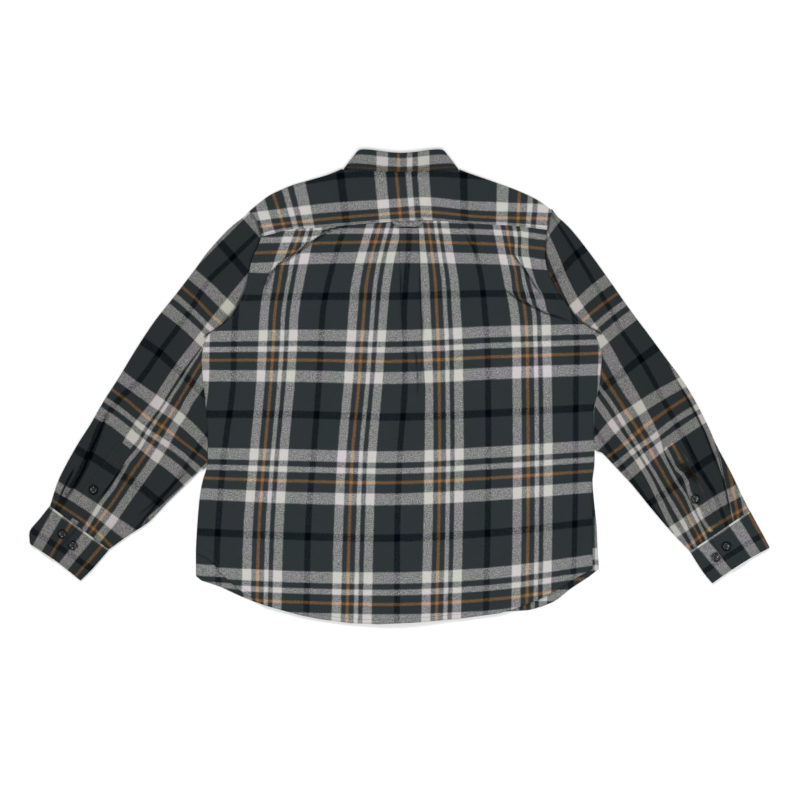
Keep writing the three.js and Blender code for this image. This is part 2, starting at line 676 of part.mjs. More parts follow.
// A sleeve: the top face, the lower fold, the flat underside and the outer fold, as one closed ring
function makeSleeve(side, rows) {
  const outer = [];
  const inner = [];
  for (const [i, row] of rows.entries()) {
    const radius = row.height / 2;
    const count = row.points.length;
    const across = new THREE.Vector3(row.across[0], row.across[1], 0);
    const foldPoint = (place, fold, sign) => {
      if (i === 0) return new THREE.Vector3(place.x, place.y, radius).addScaledVector(across, sign * radius);
      return new THREE.Vector3(fold[0], fold[1], radius);
    };
    const lowerEdge = foldPoint(row.points[count - 1], row.lowerFold, 1);
    const outerEdge = foldPoint(row.points[0], row.outerFold, -1);
    const outerRow = row.points.map((p) => p.clone());
    const innerRow = row.points.map((p) => new THREE.Vector3(p.x, p.y, p.z - clothWall));
    outerRow.push(lowerEdge);
    innerRow.push(lowerEdge.clone().addScaledVector(across, -clothWall));
    for (let k = count - 1; k >= 0; k -= 1) {
      const p = row.points[k];
      outerRow.push(new THREE.Vector3(p.x, p.y, 0));
      innerRow.push(new THREE.Vector3(p.x, p.y, clothWall));
    }
    outerRow.push(outerEdge);
    innerRow.push(outerEdge.clone().addScaledVector(across, clothWall));
    outer.push(outerRow);
    inner.push(innerRow);
  }
  addNode(side < 0 ? 'sleeve_left' : 'sleeve_right', clothGeometry(outer, inner, { ring: true }), flannel);
}

// The gauntlet is a strip of the sleeve's own points, moved out
function makeGauntlet(side, rows) {
  const columns = side < 0 ? gauntletColumns.left : gauntletColumns.right;
  const strip = rows.slice(gauntletStart).map((row) => columns.map((k) => {
    const p = row.points[k];
    return new THREE.Vector3(p.x, p.y, p.z + seamGap + clothWall);
  }));
  addNode(side < 0 ? 'gauntlet_left' : 'gauntlet_right', sheetGeometry(strip, clothWall), flannelBand);
  return strip;
}

// Cuff: starts at the upper end's edge, runs round the outer fold, under, round the lower fold and
// back under its own start
const cuffLower = cuffWall + seamGap;
const cuffTopLevel = { under: cuffLower + cuffWall, over: 2 * cuffLower + cuffWall };
function makeCuff(side) {
  const stations = side < 0 ? leftCuff : rightCuff;
  const lap = side < 0 ? leftCuffLap : rightCuffLap;
  const hidden = lap - cuffUnderlap;
  const overLow = cuffTopLevel.under + 0.2;
  const path = [
    [lap, cuffTopLevel.over, 'top'],
    [(lap + hidden) / 2, cuffTopLevel.over, 'top'],
    [hidden - 0.02, cuffTopLevel.over, 'top'],
    [hidden - 0.1, overLow, 'top'],
    [0.04, overLow, 'top'],
    [0, overLow / 2, 'outerFold'],
    [0.04, 0, 'under'],
    [0.35, 0, 'under'],
    [0.65, 0, 'under'],
    [0.96, 0, 'under'],
    [1, cuffTopLevel.under / 2, 'lowerFold'],
    [0.96, cuffTopLevel.under, 'top'],
    [0.82, cuffTopLevel.under, 'top'],
    [lap, cuffTopLevel.under, 'top'],
    [hidden, cuffTopLevel.under, 'top'],
  ];
  const outer = [];
  const inner = [];
  for (const row of stations) {
    const across = new THREE.Vector3(row.lowerX - row.outerX, row.lowerY - row.outerY, 0);
    const unit = across.clone().normalize();
    const outerRow = [];
    const innerRow = [];
    for (const [share, z, part] of path) {
      const point = new THREE.Vector3(row.outerX, row.outerY, z).addScaledVector(across, share);
      const inward = { top: [0, -1], under: [0, 1], outerFold: [1, 0], lowerFold: [-1, 0] }[part];
      const offset = unit.clone().multiplyScalar(inward[0] * cuffWall);
      offset.z = inward[1] * cuffWall;
      outerRow.push(point);
      innerRow.push(point.clone().add(offset));
    }
    outer.push(outerRow);
    inner.push(innerRow);
  }
  addNode(side < 0 ? 'cuff_left' : 'cuff_right', clothGeometry(outer, inner), flannelBand);
}

// Collar. It is a flattened ring: the front half lies on the surface and the back half on top.
// A point of the ring is given by its column, its level and its depth in from the outer face.
const collarRadius = collarHeight / 2;
const collarHalfWidth = (y) => 75.5 + (383 - y) * 0.8;
function ringPoint(side, turn, x, y, depth) {
  const angle = THREE.MathUtils.degToRad(turn);
  const reach = collarRadius - depth;
  const isFlat = Math.abs(turn) === 90;
  const across = isFlat ? x : collarHalfWidth(y) - collarRadius + reach * Math.cos(angle);
  return new THREE.Vector3(collarCentre + side * across, y, collarRadius + reach * Math.sin(angle));
}

// Columns of the turned-down collar from the front opening round to the middle of the back
const fallColumns = table(['turn', 'topX', 'topY', 'lowX', 'lowY'], [
  [-90, 8, 305, 60, 238],
  [-90, 22, 311, 66, 241],
  [-90, 40, 329, 73, 264],
  [-90, 56, 349, 80, 298],
  [-90, 68, 367, 86, 338],
  [-45, 0, 378, 0, 362],
  [0, 0, 383, 0, 362],
  [45, 0, 387, 0, 362.5],
  [90, 66, 390, 86, 361.5],
  [90, 45, 388, 58, 357],
  [90, 22, 386, 27, 353.5],
  [90, 0, 385, 0, 353],
]);

function makeCollarFall() {
  const half = fallColumns.map((column) => ({ ...column, side: -1 }));
  const otherHalf = fallColumns.slice(0, -1).map((column) => ({ ...column, side: 1 })).reverse();
  const columns = [...half, ...otherHalf];
  const legEnd = collarWall + seamGap;
  const rows = [
    { outerDepth: legEnd + collarWall, innerDepth: legEnd, drop: 6, innerDrop: 6, share: 0 },
    { outerDepth: legEnd + collarWall, innerDepth: legEnd, drop: 1.5, innerDrop: 1.6, share: 0 },
    { outerDepth: legEnd - 0.15, innerDepth: legEnd - 0.15, drop: 0, innerDrop: 1.4, share: 0 },
    { outerDepth: 0, innerDepth: collarWall, drop: 1.5, innerDrop: 1.6, share: 0 },
    { outerDepth: 0, innerDepth: collarWall, drop: 0, innerDrop: 0, share: 0.35 },
    { outerDepth: 0, innerDepth: collarWall, drop: 0, innerDrop: 0, share: 0.7 },
    { outerDepth: 0, innerDepth: collarWall, drop: 0, innerDrop: 0, share: 1 },
  ];
  const grid = (depthName, dropName) => rows.map((row) => columns.map((column) => {
    const y = lerp(column.topY, column.lowY, row.share) - row[dropName];
    const x = lerp(column.topX, column.lowX, row.share);
    return ringPoint(column.side, column.turn, x, y, row[depthName]);
  }));
  const outer = grid('outerDepth', 'drop');
  addNode('collar_fall', clothGeometry(outer, grid('innerDepth', 'innerDrop')), flannelBand);
}

// Columns of the stand from the centre front to the middle of the back. The lifts are how far each end
// is raised where one laps over the other.
const standColumns = table(['turn', 'topX', 'lowX', 'underLift', 'overLift'], [
  [-90, 12, 12, 0.8, 2.5],
  [-90, 17, 18, 0.4, 1.6],
  [-90, 31, 36, 0, 0],
  [-90, 47, 55, 0, 0],
  [-90, 60, 73, 0, 0],
  [-90, 67, 84, 0, 0],
  [-45, 0, 0, 0, 0],
  [0, 0, 0, 0, 0],
  [45, 0, 0, 0, 0],
  [90, 66, 85, 0, 0],
  [90, 45, 58, 0, 0],
  [90, 22, 30, 0, 0],
  [90, 0, 0, 0, 0],
]);
const sideStandLowY = 360;

function makeCollarStand() {
  const half = standColumns.map((column) => ({ ...column, side: -1, lift: column.underLift }));
  const otherHalf = standColumns.map((column) => ({ ...column, side: 1, lift: column.overLift }));
  const firstEnd = { ...half[0], side: 1 };
  const lastEnd = { ...otherHalf[0], side: -1 };
  const columns = [firstEnd, ...half, ...otherHalf.slice(0, -1).reverse(), lastEnd];
  const outerDepth = collarWall + seamGap;
  const topY = (column) => {
    const matching = fallColumns.filter((fall) => fall.turn === column.turn);
    return lookUp(matching, 'topX', column.topX, 'topY') - standDrop - column.lift;
  };
  const lowY = (column) => {
    if (column.turn === 90) return neckBackY(column.lowX) + 0.7;
    if (column.turn === -90) return neckFrontY(collarCentre * column.side + column.lowX);
    return sideStandLowY;
  };
  const grid = (depth) => [0, 0.5, 1].map((share) => columns.map((column) => {
    const y = lerp(topY(column), lowY(column), share);
    const point = ringPoint(column.side, column.turn, lerp(column.topX, column.lowX, share), y, depth);
    point.z += column.lift;
    return point;
  }));
  addNode('collar_stand', clothGeometry(grid(outerDepth), grid(outerDepth + collarWall)), flannelBand);
}

// Locker loop on the yoke seam
function makeLockerLoop() {
  const halfWidth = 3.4;
  const path = table(['x', 'y', 'z'], [
    [-9, 270.5, 9.6],
    [0, 267.5, 10.4],
    [15.5, 266.6, 10.8],
    [31, 267.5, 10.4],
    [38, 271.5, 9.6],
  ]);
  const edge = (off) => path.map((p) => new THREE.Vector3(p.x, p.y + off, p.z + clothWall));
  const grid = [edge(-halfWidth), edge(halfWidth)];
  addNode('locker_loop', sheetGeometry(grid, clothWall), flannelBand);
}

// A button with a rim, a dish and four holes
const buttonSides = 12;
const holeSides = 5;
const holeRadius = 0.9;
const holeSpacing = 1.5;
function solidOf(geometry) {
  const plain = geometry.clone();
  plain.deleteAttribute('normal');
  plain.deleteAttribute('uv');
  const merged = mergeVertices(plain, 1e-4);
  const mesh = new wasm.Mesh({
    numProp: 3,
    vertProperties: new Float32Array(merged.attributes.position.array),
    triVerts: new Uint32Array(merged.index.array),
  });
  return new wasm.Manifold(mesh);
}

function buttonGeometry() {
  const radius = buttonDiameter / 2;
  const dishFloor = buttonThickness - buttonDish;
  const profile = [
    [0, 0], [radius - buttonRim, 0], [radius, buttonRim], [radius - buttonRim / 2, buttonThickness],
    [radius - 1.9 * buttonRim, buttonThickness], [radius - 2.6 * buttonRim, dishFloor], [0, dishFloor],
  ].map(([r, z]) => new THREE.Vector2(r, z));
  const disc = new THREE.LatheGeometry(profile, buttonSides);
  disc.rotateX(Math.PI / 2);
  let solid = solidOf(disc);
  for (const [sx, sy] of [[1, 1], [1, -1], [-1, 1], [-1, -1]]) {
    const hole = new THREE.CylinderGeometry(holeRadius, holeRadius, 4 * buttonThickness, holeSides);
    hole.rotateX(Math.PI / 2);
    hole.translate(sx * holeSpacing, sy * holeSpacing, 0);
    solid = solid.subtract(solidOf(hole));
  }
  const mesh = solid.getMesh();
  const geometry = new THREE.BufferGeometry();
  geometry.setAttribute('position', new THREE.Float32BufferAttribute(mesh.vertProperties, 3));
  geometry.setIndex([...mesh.triVerts]);
  return geometry;
}

function makeButtons(strips) {
  const geometry = buttonGeometry();
  for (const button of cuffButtons) {
    const top = button.level ? cuffTopLevel.over : cuffTopLevel.under;
    addNode(button.name, geometry, buttonPlastic, [button.x, button.y, top + seamGap]);
  }
  for (const button of gauntletButtons) {
    const near = strips[button.side].flat().filter((p) => Math.hypot(p.x - button.x, p.y - button.y) < 34);
    const top = Math.max(...near.map((p) => p.z));
    addNode(button.name, geometry, buttonPlastic, [button.x, button.y, top + seamGap]);
  }
  frontButtonLevels.forEach((level, k) => {
    addNode(`button_front_${k + 1}`, geometry, buttonPlastic, [0, level, 0]);
  });
  addNode('button_stand', geometry, buttonPlastic, [collarCentre, standButtonY, 0]);
}

makeBack();
makeYoke();
makeFront(-1);
makeFront(1);
makeBands();
const strips = {};
for (const side of [-1, 1]) {
  const rows = sleeveGrid(side);
  makeSleeve(side, rows);
  strips[side] = makeGauntlet(side, rows);
  makeCuff(side);
}
makeCollarStand();
makeCollarFall();
makeLockerLoop();
makeButtons(strips);

export default group;
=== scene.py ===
"""Flannel shirt laid flat on its front: the looks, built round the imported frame.

Tables are in plan units of 1.65 mm: x runs right and y runs down, as the shirt is seen from above.
Heights are in millimetres. Stripe values count plan units of cloth, warp across and weft down.
"""
import math

import bpy
import numpy as np
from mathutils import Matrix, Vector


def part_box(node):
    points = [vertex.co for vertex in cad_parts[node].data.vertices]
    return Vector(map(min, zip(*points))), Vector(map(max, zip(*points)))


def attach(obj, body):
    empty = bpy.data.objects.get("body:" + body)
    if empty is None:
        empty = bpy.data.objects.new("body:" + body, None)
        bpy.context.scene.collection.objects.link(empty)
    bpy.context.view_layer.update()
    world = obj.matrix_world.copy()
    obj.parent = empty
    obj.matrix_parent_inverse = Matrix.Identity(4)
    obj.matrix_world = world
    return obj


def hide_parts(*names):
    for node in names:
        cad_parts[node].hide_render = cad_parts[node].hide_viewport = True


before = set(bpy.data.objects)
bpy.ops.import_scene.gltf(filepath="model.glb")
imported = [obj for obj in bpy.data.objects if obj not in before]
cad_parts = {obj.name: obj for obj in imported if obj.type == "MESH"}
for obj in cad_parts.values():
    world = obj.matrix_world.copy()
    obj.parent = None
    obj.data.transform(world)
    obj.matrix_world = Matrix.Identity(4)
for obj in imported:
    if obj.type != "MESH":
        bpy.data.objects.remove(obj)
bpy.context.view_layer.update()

UNIT = 1.65
CENTRE_X = 399.5
CENTRE_Y = 386.2
WALL = 0.9
WARP_REPEAT = 89.3
WEFT_REPEAT = 120.5
# Steps of a stitch path on its way in from an edge, in cells of the grid, and the most of them
GRID_STEP = 0.25
INSET_ROUNDS = 240
# How far a thread rises above its path and sinks below it, in metres
STITCH_RISE = 0.00022
STITCH_SINK = 0.00035

# Small tools


def metres(plan):
    """Plan points (x, y, height) to metres in the frame."""
    out = np.empty(plan.shape)
    out[..., 0] = (plan[..., 0] - CENTRE_X) * UNIT / 1000
    out[..., 1] = (CENTRE_Y - plan[..., 1]) * UNIT / 1000
    out[..., 2] = plan[..., 2] / 1000
    return out


def smooth(t):
    t = np.clip(t, 0.0, 1.0)
    return t * t * (3 - 2 * t)


def lerp(a, b, t):
    return a + (b - a) * t


def layers(*parts):
    """Numbers for each place of a grid, put side by side as the grid's last axis."""
    return np.stack(np.broadcast_arrays(*parts), axis=-1)


def run_along(path):
    """Length along a path at each of its points."""
    return np.concatenate([[0], np.cumsum(np.linalg.norm(np.diff(path, axis=0), axis=1))])


def between(across, at, values, before=1.0, after=1.0):
    """Value at a place from those known at places on both sides, with a slope beyond each end."""
    out = values[0] + before * (across - at[0])
    for k in range(len(at) - 1):
        t = (across - at[k]) / (at[k + 1] - at[k])
        out = np.where(t > 0, lerp(values[k], values[k + 1], t), out)
    return np.where(across > at[-1], values[-1] + after * (across - at[-1]), out)


def spline(xs, ys, x):
    """Smooth curve through (xs, ys) at x, straight beyond its ends. ys may have several columns."""
    xs = np.asarray(xs, float)
    ys = np.asarray(ys, float)
    x = np.asarray(x, float)
    flat = ys.ndim == 1
    if flat:
        ys = ys[:, None]
    slopes = np.gradient(ys, xs, axis=0)
    k = np.clip(np.searchsorted(xs, x, side="right") - 1, 0, len(xs) - 2)
    span = (xs[k + 1] - xs[k])[..., None]
    t = ((x - xs[k])[..., None]) / span
    tc = np.clip(t, 0, 1)
    y = (
        (1 + 2 * tc) * (1 - tc) ** 2 * ys[k]
        + tc * (1 - tc) ** 2 * span * slopes[k]
        + tc**2 * (3 - 2 * tc) * ys[k + 1]
        + tc**2 * (tc - 1) * span * slopes[k + 1]
    )
    y = y + np.where(t < 0, t, 0) * span * slopes[k] + np.where(t > 1, t - 1, 0) * span * slopes[k + 1]
    return y[..., 0] if flat else y


class Stripes:
    """Cloth value at any place, from lines drawn on the cloth. Each line is (value, points)."""

    def __init__(self, lines, axis, bent=True):
        self.ax, self.ay = axis
        self.bent = bent
        self.values = [value for value, _ in lines]
        self.lines = []
        for _, points in lines:
            p = np.array(points, float)
            along = p[:, 0] * self.ax + p[:, 1] * self.ay
            across = -p[:, 0] * self.ay + p[:, 1] * self.ax
            order = np.argsort(along)
            self.lines.append((along[order], across[order]))

    def __call__(self, x, y):
        along = x * self.ax + y * self.ay
        across = -x * self.ay + y * self.ax
        at = [spline(a, c, along) if self.bent else np.interp(along, a, c) for a, c in self.lines]
        values = self.values
        if np.mean(at[-1]) < np.mean(at[0]):
            at, values = at[::-1], values[::-1]
        way = 1.0 if values[-1] > values[0] else -1.0
        return between(across, at, values, way, way)


def near_path(x, y, path):
    """Distance to a path, signed by its side, and the place along it from 0 to 1."""
    p = np.array(path, float)
    lengths = np.hypot(*(p[1:] - p[:-1]).T)
    total = lengths.sum()
    best = np.full(np.shape(x), 1e9)
    side = np.zeros(np.shape(x))
    place = np.zeros(np.shape(x))
    run = 0.0
    for a, b, length in zip(p[:-1], p[1:], lengths):
        d = (b - a) / length
        t = np.clip((x - a[0]) * d[0] + (y - a[1]) * d[1], 0, length)
        away = np.hypot(x - a[0] - d[0] * t, y - a[1] - d[1] * t)
        cross = d[0] * (y - a[1]) - d[1] * (x - a[0])
        closer = away < best
        best = np.where(closer, away, best)
        side = np.where(closer, np.sign(cross), side)
        place = np.where(closer, (run + t) / total, place)
        run += length
    return best * side, place


def crease(path, height, sharp, soft, side=1, dark=0.0, shift=(0, 0), ends=(0, 0)):
    """One crease. Its steep side is sharp wide and the other soft wide; dark is the strength of the painted
    shade at its foot.

    Shift moves the pattern on the soft side, and ends says how much of the height each end keeps.
    """
    return path, height, sharp, soft, side, dark, shift, ends


def relief(x, y, folds):
    """Height of the creases at a place, how far each moves the pattern, and the painted shade at its foot."""
    height, dx, dy, foot = np.zeros((4,) + np.shape(x))
    for path, top, sharp, soft, side, dark, shift, ends in folds:
        away, place = near_path(x, y, path)
        away = away * side
        size = lerp(ends[0], 1.0, smooth(place / 0.25)) * lerp(ends[1], 1.0, smooth((1 - place) / 0.3))
        height += top * size * np.exp(-((away / np.where(away > 0, soft, sharp)) ** 2))
        weight = size * smooth(away + 0.5)
        dx += shift[0] * weight
        dy += shift[1] * weight
        # Painted shade along the foot of the steep side
        near = np.exp(-(((away + sharp) / 0.95) ** 2))
        foot = np.maximum(foot, dark * near * np.minimum(size, 1.0))
    return height, dx, dy, foot


def ripple(x, y, seed, wave=16.0):
    """Low uneven waves of cloth that is not pulled flat."""
    rng = np.random.default_rng(seed)
    out = np.zeros(np.shape(x))
    for _ in range(9):
        angle = rng.uniform(0, math.pi)
        length = wave * rng.uniform(0.7, 2.4)
        phase = rng.uniform(0, 2 * math.pi)
        bend = rng.uniform(-0.5, 0.5)
        along = x * math.cos(angle) + y * math.sin(angle)
        across = -x * math.sin(angle) + y * math.cos(angle)
        turns = (along + bend * 8 * np.sin(across / 37)) / length
        out += rng.uniform(0.4, 1.0) * np.sin(turns * 2 * math.pi + phase)
    return out / 4


# Meshes


def shell(node, plan, uv, wall=WALL, ring=False, keep=None, up=(0, 0), foot=None):
    """A closed thin shell for a node, on a grid of plan points. Its edges are rounded.

    The cell up faces upward, keep says which cells are there, and foot is the crease layer: painted shade at
    the creases' feet, round the buttons and along the armhole seams, and the darkened orange stripe of the
    collar.
    """
    rows, cols = plan.shape[:2]
    p = metres(plan)
    down = np.gradient(p, axis=0)
    if ring:
        along = (np.roll(p, -1, axis=1) - np.roll(p, 1, axis=1)) / 2
    else:
        along = np.gradient(p, axis=1)
    normal = np.cross(down, along)
    out = 1 if normal[up][2] > 0 else -1
    normal *= out
    normal /= np.maximum(np.linalg.norm(normal, axis=2, keepdims=True), 1e-12)
    inner = p - normal * wall / 1000
    inner[..., 2] = np.maximum(inner[..., 2], 0)
    last = cols if ring else cols - 1
    i, j = np.meshgrid(np.arange(rows - 1), np.arange(last), indexing="ij")
    if keep is not None:
        i, j = i[keep[: rows - 1, :last]], j[keep[: rows - 1, :last]]
    i, j = i.ravel(), j.ravel()
    nj = (j + 1) % cols
    quads = np.stack([i * cols + j, (i + 1) * cols + j, (i + 1) * cols + nj, i * cols + nj], axis=1)
    if out < 0:
        quads = quads[:, ::-1]
    count = rows * cols
    # Open edges of the face, each kept once, and a rounded rim along them
    edges = {}
    for quad in quads.tolist():
        for a, b in zip(quad, quad[1:] + quad[:1]):
            if (b, a) in edges:
                del edges[(b, a)]
            else:
                edges[(a, b)] = True
    flat = p.reshape(-1, 3)
    flat_in = inner.reshape(-1, 3)
    flat_normal = normal.reshape(-1, 3)
    border = {}
    for a, b in edges:
        outward = np.cross(flat[b] - flat[a], flat_normal[a])
        for k in (a, b):
            border[k] = border.get(k, 0) + outward
    mid_index = {}
    mids = []
    for n, (k, outward) in enumerate(border.items()):
        mid_index[k] = 2 * count + n
        outward = outward / max(np.linalg.norm(outward), 1e-12)
        mids.append((flat[k] + flat_in[k]) / 2 + outward * wall * 0.0004)
    rim = []
    for a, b in edges:
        rim.append([b, a, mid_index[a], mid_index[b]])
        rim.append([mid_index[b], mid_index[a], a + count, b + count])
    verts = np.concatenate([flat, flat_in, np.array(mids).reshape(-1, 3)])
    faces = np.concatenate([quads, quads[:, ::-1] + count, np.array(rim).reshape(-1, 4)])
    # Points that no face uses are left out
    used = np.zeros(len(verts), bool)
    used[faces.ravel()] = True
    renumber = np.cumsum(used) - 1
    flat_uv = uv.reshape(-1, 2)
    all_uv = np.concatenate([flat_uv, flat_uv, flat_uv[list(border)].reshape(-1, 2)])[used]
    piece = make_mesh(node + "_cloth", verts[used], renumber[faces], all_uv)
    if foot is not None:
        flat = layers(foot.ravel(), 0.0)
        dark = np.concatenate([flat, flat, flat[list(border)].reshape(-1, 2)])[used]
        add_uv(piece.data, "crease", dark)
    return piece


def add_uv(mesh, name, uv):
    layer = mesh.uv_layers.new(name=name)
    index = np.empty(len(mesh.loops), np.int32)
    mesh.loops.foreach_get("vertex_index", index)
    layer.data.foreach_set("uv", uv[index].astype(np.float32).ravel())


def add_object(name, data):
    """A new object in the scene that shows a mesh, a light or a camera."""
    piece = bpy.data.objects.new(name, data)
    bpy.context.collection.objects.link(piece)
    return piece


def raw_mesh(name, verts, faces):
    mesh = bpy.data.meshes.new(name)
    mesh.from_pydata([tuple(v) for v in verts], [], faces)
    return mesh


def shade_smooth(mesh):
    mesh.polygons.foreach_set("use_smooth", np.ones(len(mesh.polygons), bool))


def make_mesh(name, verts, faces, uv=None):
    mesh = raw_mesh(name, verts.tolist(), faces.tolist())
    if uv is not None:
        add_uv(mesh, "cloth", uv)
    shade_smooth(mesh)
    mesh.update()
    return add_object(name, mesh)


def finish_piece(piece, material, slot, *nodes):
    piece.data.materials.append(material)
    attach(piece, "root")
    if nodes:
        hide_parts(*nodes)
    return piece


def on_grid(plan, row, col):
    """Points of a grid at fractional rows and columns."""
    row = np.clip(np.asarray(row, float), 0, plan.shape[0] - 1.001)
    col = np.clip(np.asarray(col, float), 0, plan.shape[1] - 1.001)
    i, j = row.astype(int), col.astype(int)
    a, b = (row - i)[:, None], (col - j)[:, None]
    return (
        plan[i, j] * (1 - a) * (1 - b) + plan[i + 1, j] * a * (1 - b)
        + plan[i, j + 1] * (1 - a) * b + plan[i + 1, j + 1] * a * b
    )


def inset_path(plan, edge, inset, start=0.0, end=1.0, count=400):
    """A path on a grid, a set distance in plan units inside its top, bottom, left or right edge."""
    sideways = edge in ("left", "right")
    deep, long = np.array(plan.shape[:2])[[1, 0] if sideways else [0, 1]] - 1.0
    first = edge in ("top", "left")
    step = GRID_STEP if first else -GRID_STEP
    along = np.linspace(start, end, count) * long
    depth = np.full(count, 0.0 if first else deep)

    def at(depth):
        return on_grid(plan, along, depth) if sideways else on_grid(plan, depth, along)

    here = at(depth)
    gone = np.zeros(count)
    for _ in range(INSET_ROUNDS):
        length = np.linalg.norm((at(depth + step) - here)[:, :2], axis=1)
        moving = gone < inset
        depth = np.where(moving, depth + step, depth)
        gone = np.where(moving, gone + length, gone)
        here = at(depth)
        if not moving.any():
            break
    return here


STITCHES = []


def stitch_line(path, pitch=1.75, length=1.35, lift=0.1, width=0.26, below=False):
    """Notes a row of stitches along a path of plan points."""
    run = run_along(path[:, :2])
    if run[-1] < pitch:
        return
    starts = np.arange(0.3, run[-1] - length, pitch)
    a, b = (layers(*(np.interp(s, run, path[:, k]) for k in range(3))) for s in (starts, starts + length))
    a[:, 2] += lift
    b[:, 2] += lift
    STITCHES.append((a, b, width, below))


def make_stitches(name, material, slot):
    """All the noted stitches as one mesh of short rounded threads."""
    verts, faces = [], []
    for a, b, width, below in STITCHES:
        a, b = metres(a), metres(b)
        face = -0.3 if below else 1.0
        for p, q in zip(a, b):
            d = q - p
            size = np.linalg.norm(d)
            if size < 1e-6:
                continue
            d = d / size
            side = np.cross(d, [0, 0, 1.0])
            side = side / max(np.linalg.norm(side), 1e-9) * width * (-0.001 if below else 0.001)
            up = np.array([0, 0, STITCH_RISE * face])
            low = np.array([0, 0, -STITCH_SINK * face])
            mid = (p + q) / 2 + up
            base = len(verts)
            verts += [p + low, p + side * 0.6, p + up * 0.4, p - side * 0.6]
            verts += [mid + low * 1.4, mid + side, mid + up, mid - side]
            verts += [q + low, q + side * 0.6, q + up * 0.4, q - side * 0.6]
            for r in (0, 4):
                for c in range(4):
                    e = (c + 1) % 4
                    faces.append([base + r + c, base + r + 4 + c, base + r + 4 + e, base + r + e])
            faces.append([base, base + 1, base + 2, base + 3])
            faces.append([base + 11, base + 10, base + 9, base + 8])
    verts = np.maximum(np.array(verts), [-9, -9, 0])
    STITCHES.clear()
    piece = make_mesh(name, verts, np.array(faces))
    return finish_piece(piece, material, slot)


# Body outline

# Armhole seam from the end of the yoke seam to the underarm, left and right
ARMHOLE = [
    ((262, 235), (547, 229)), ((258, 246), (545.5, 243)), ((253, 257), (545, 258)),
    ((250, 268), (549, 275)), ((248, 280), (556, 288)), ((244, 292), (563, 299)),
    ((236, 308), (573, 313)), ((222, 325), (585, 325)), ((205, 336), (601, 333.5)),
]
# Side seams from the underarm to the corner of the back's hem
SIDES = [
    ((200.5, 347), (602, 346)), ((201, 357), (602, 358)), ((202, 368), (600.5, 371)),
    ((203, 381), (600.5, 384)), ((205, 396), (597, 395)), ((206, 411), (594, 408)),
    ((207.5, 430), (594, 430)), ((208, 450), (594.5, 449)), ((207, 467), (594, 467)),
    ((203, 480), (592, 481)), ((200, 496), (592, 497)), ((198.5, 511), (592.5, 515)),
    ((197, 531), (592.5, 541)), ((196, 553), (592.5, 569)),
]
FRONT_SIDES = SIDES[:9] + [
    ((203, 480), (592.5, 481)), ((200, 497), (594, 501)), ((198, 520), (596.5, 525)),
    ((196, 548), (597.5, 548)), ((196, 576), (599, 568.5)),
]
YOKE_SEAM = [
    (262, 235.5), (274, 232.5), (285, 229.5), (320, 227), (360, 223.5), (400, 220.7),
    (422, 219.6), (440, 220), (480, 223), (520, 225.5), (547, 229),
]
BACK_HEM = [
    (196, 553), (204, 556.5), (210, 560), (215, 565), (219, 571), (225, 577), (232, 583), (238, 589),
    (245, 594), (255, 600), (264, 605), (280, 609.5), (300, 615), (320, 619), (350, 623), (380, 624),
    (420, 622), (460, 618.5), (500, 613), (520, 606.5), (540, 599), (557, 590), (575, 578.5), (592.5, 569),
]
FRONT_HEM = [
    (196, 576), (200, 580), (220, 586.5), (240, 596), (260, 604), (290, 612), (320, 617), (360, 620),
    (400, 620), (450, 617), (500, 612), (530, 610), (545, 605.5), (556, 600.5), (570, 589), (580, 582.5),
    (590, 576), (599, 568.5),
]


def edge_rows(rows, count):
    """Left and right edge points at evenly spaced levels."""
    table = np.array(rows, float).reshape(len(rows), 4)
    level = (table[:, 1] + table[:, 3]) / 2
    wanted = np.linspace(level[0], level[-1], count)
    got = spline(level, table, wanted)
    got[0], got[-1] = table[0], table[-1]
    down = (wanted - level[0]) / (level[-1] - level[0])
    return got, down


def curve_y(points, x):
    p = np.array(points, float)
    return np.interp(x, p[:, 0], p[:, 1]) if len(p) > 12 else spline(p[:, 0], p[:, 1], x)


def yoke_seam_y(x):
    return curve_y(YOKE_SEAM, x)


def back_hem_y(x):
    return curve_y(BACK_HEM, x)


def front_hem_y(x):
    return curve_y(FRONT_HEM, x)


def panel_y(share, left, right, down, top, hem):
    """Level of a panel's points between its edges, its top line and its hem."""
    first, last = left[0], left[-1]
    first_r, last_r = right[0], right[-1]
    straight = lerp(left[:, 1:2], right[:, 1:2], share)
    top_bow = top(lerp(first[0], first_r[0], share)) - lerp(first[1], first_r[1], share)
    hem_bow = hem(lerp(last[0], last_r[0], share)) - lerp(last[1], last_r[1], share)
    return straight + (1 - down)[:, None] * top_bow + down[:, None] * hem_bow


# Stripes of the body

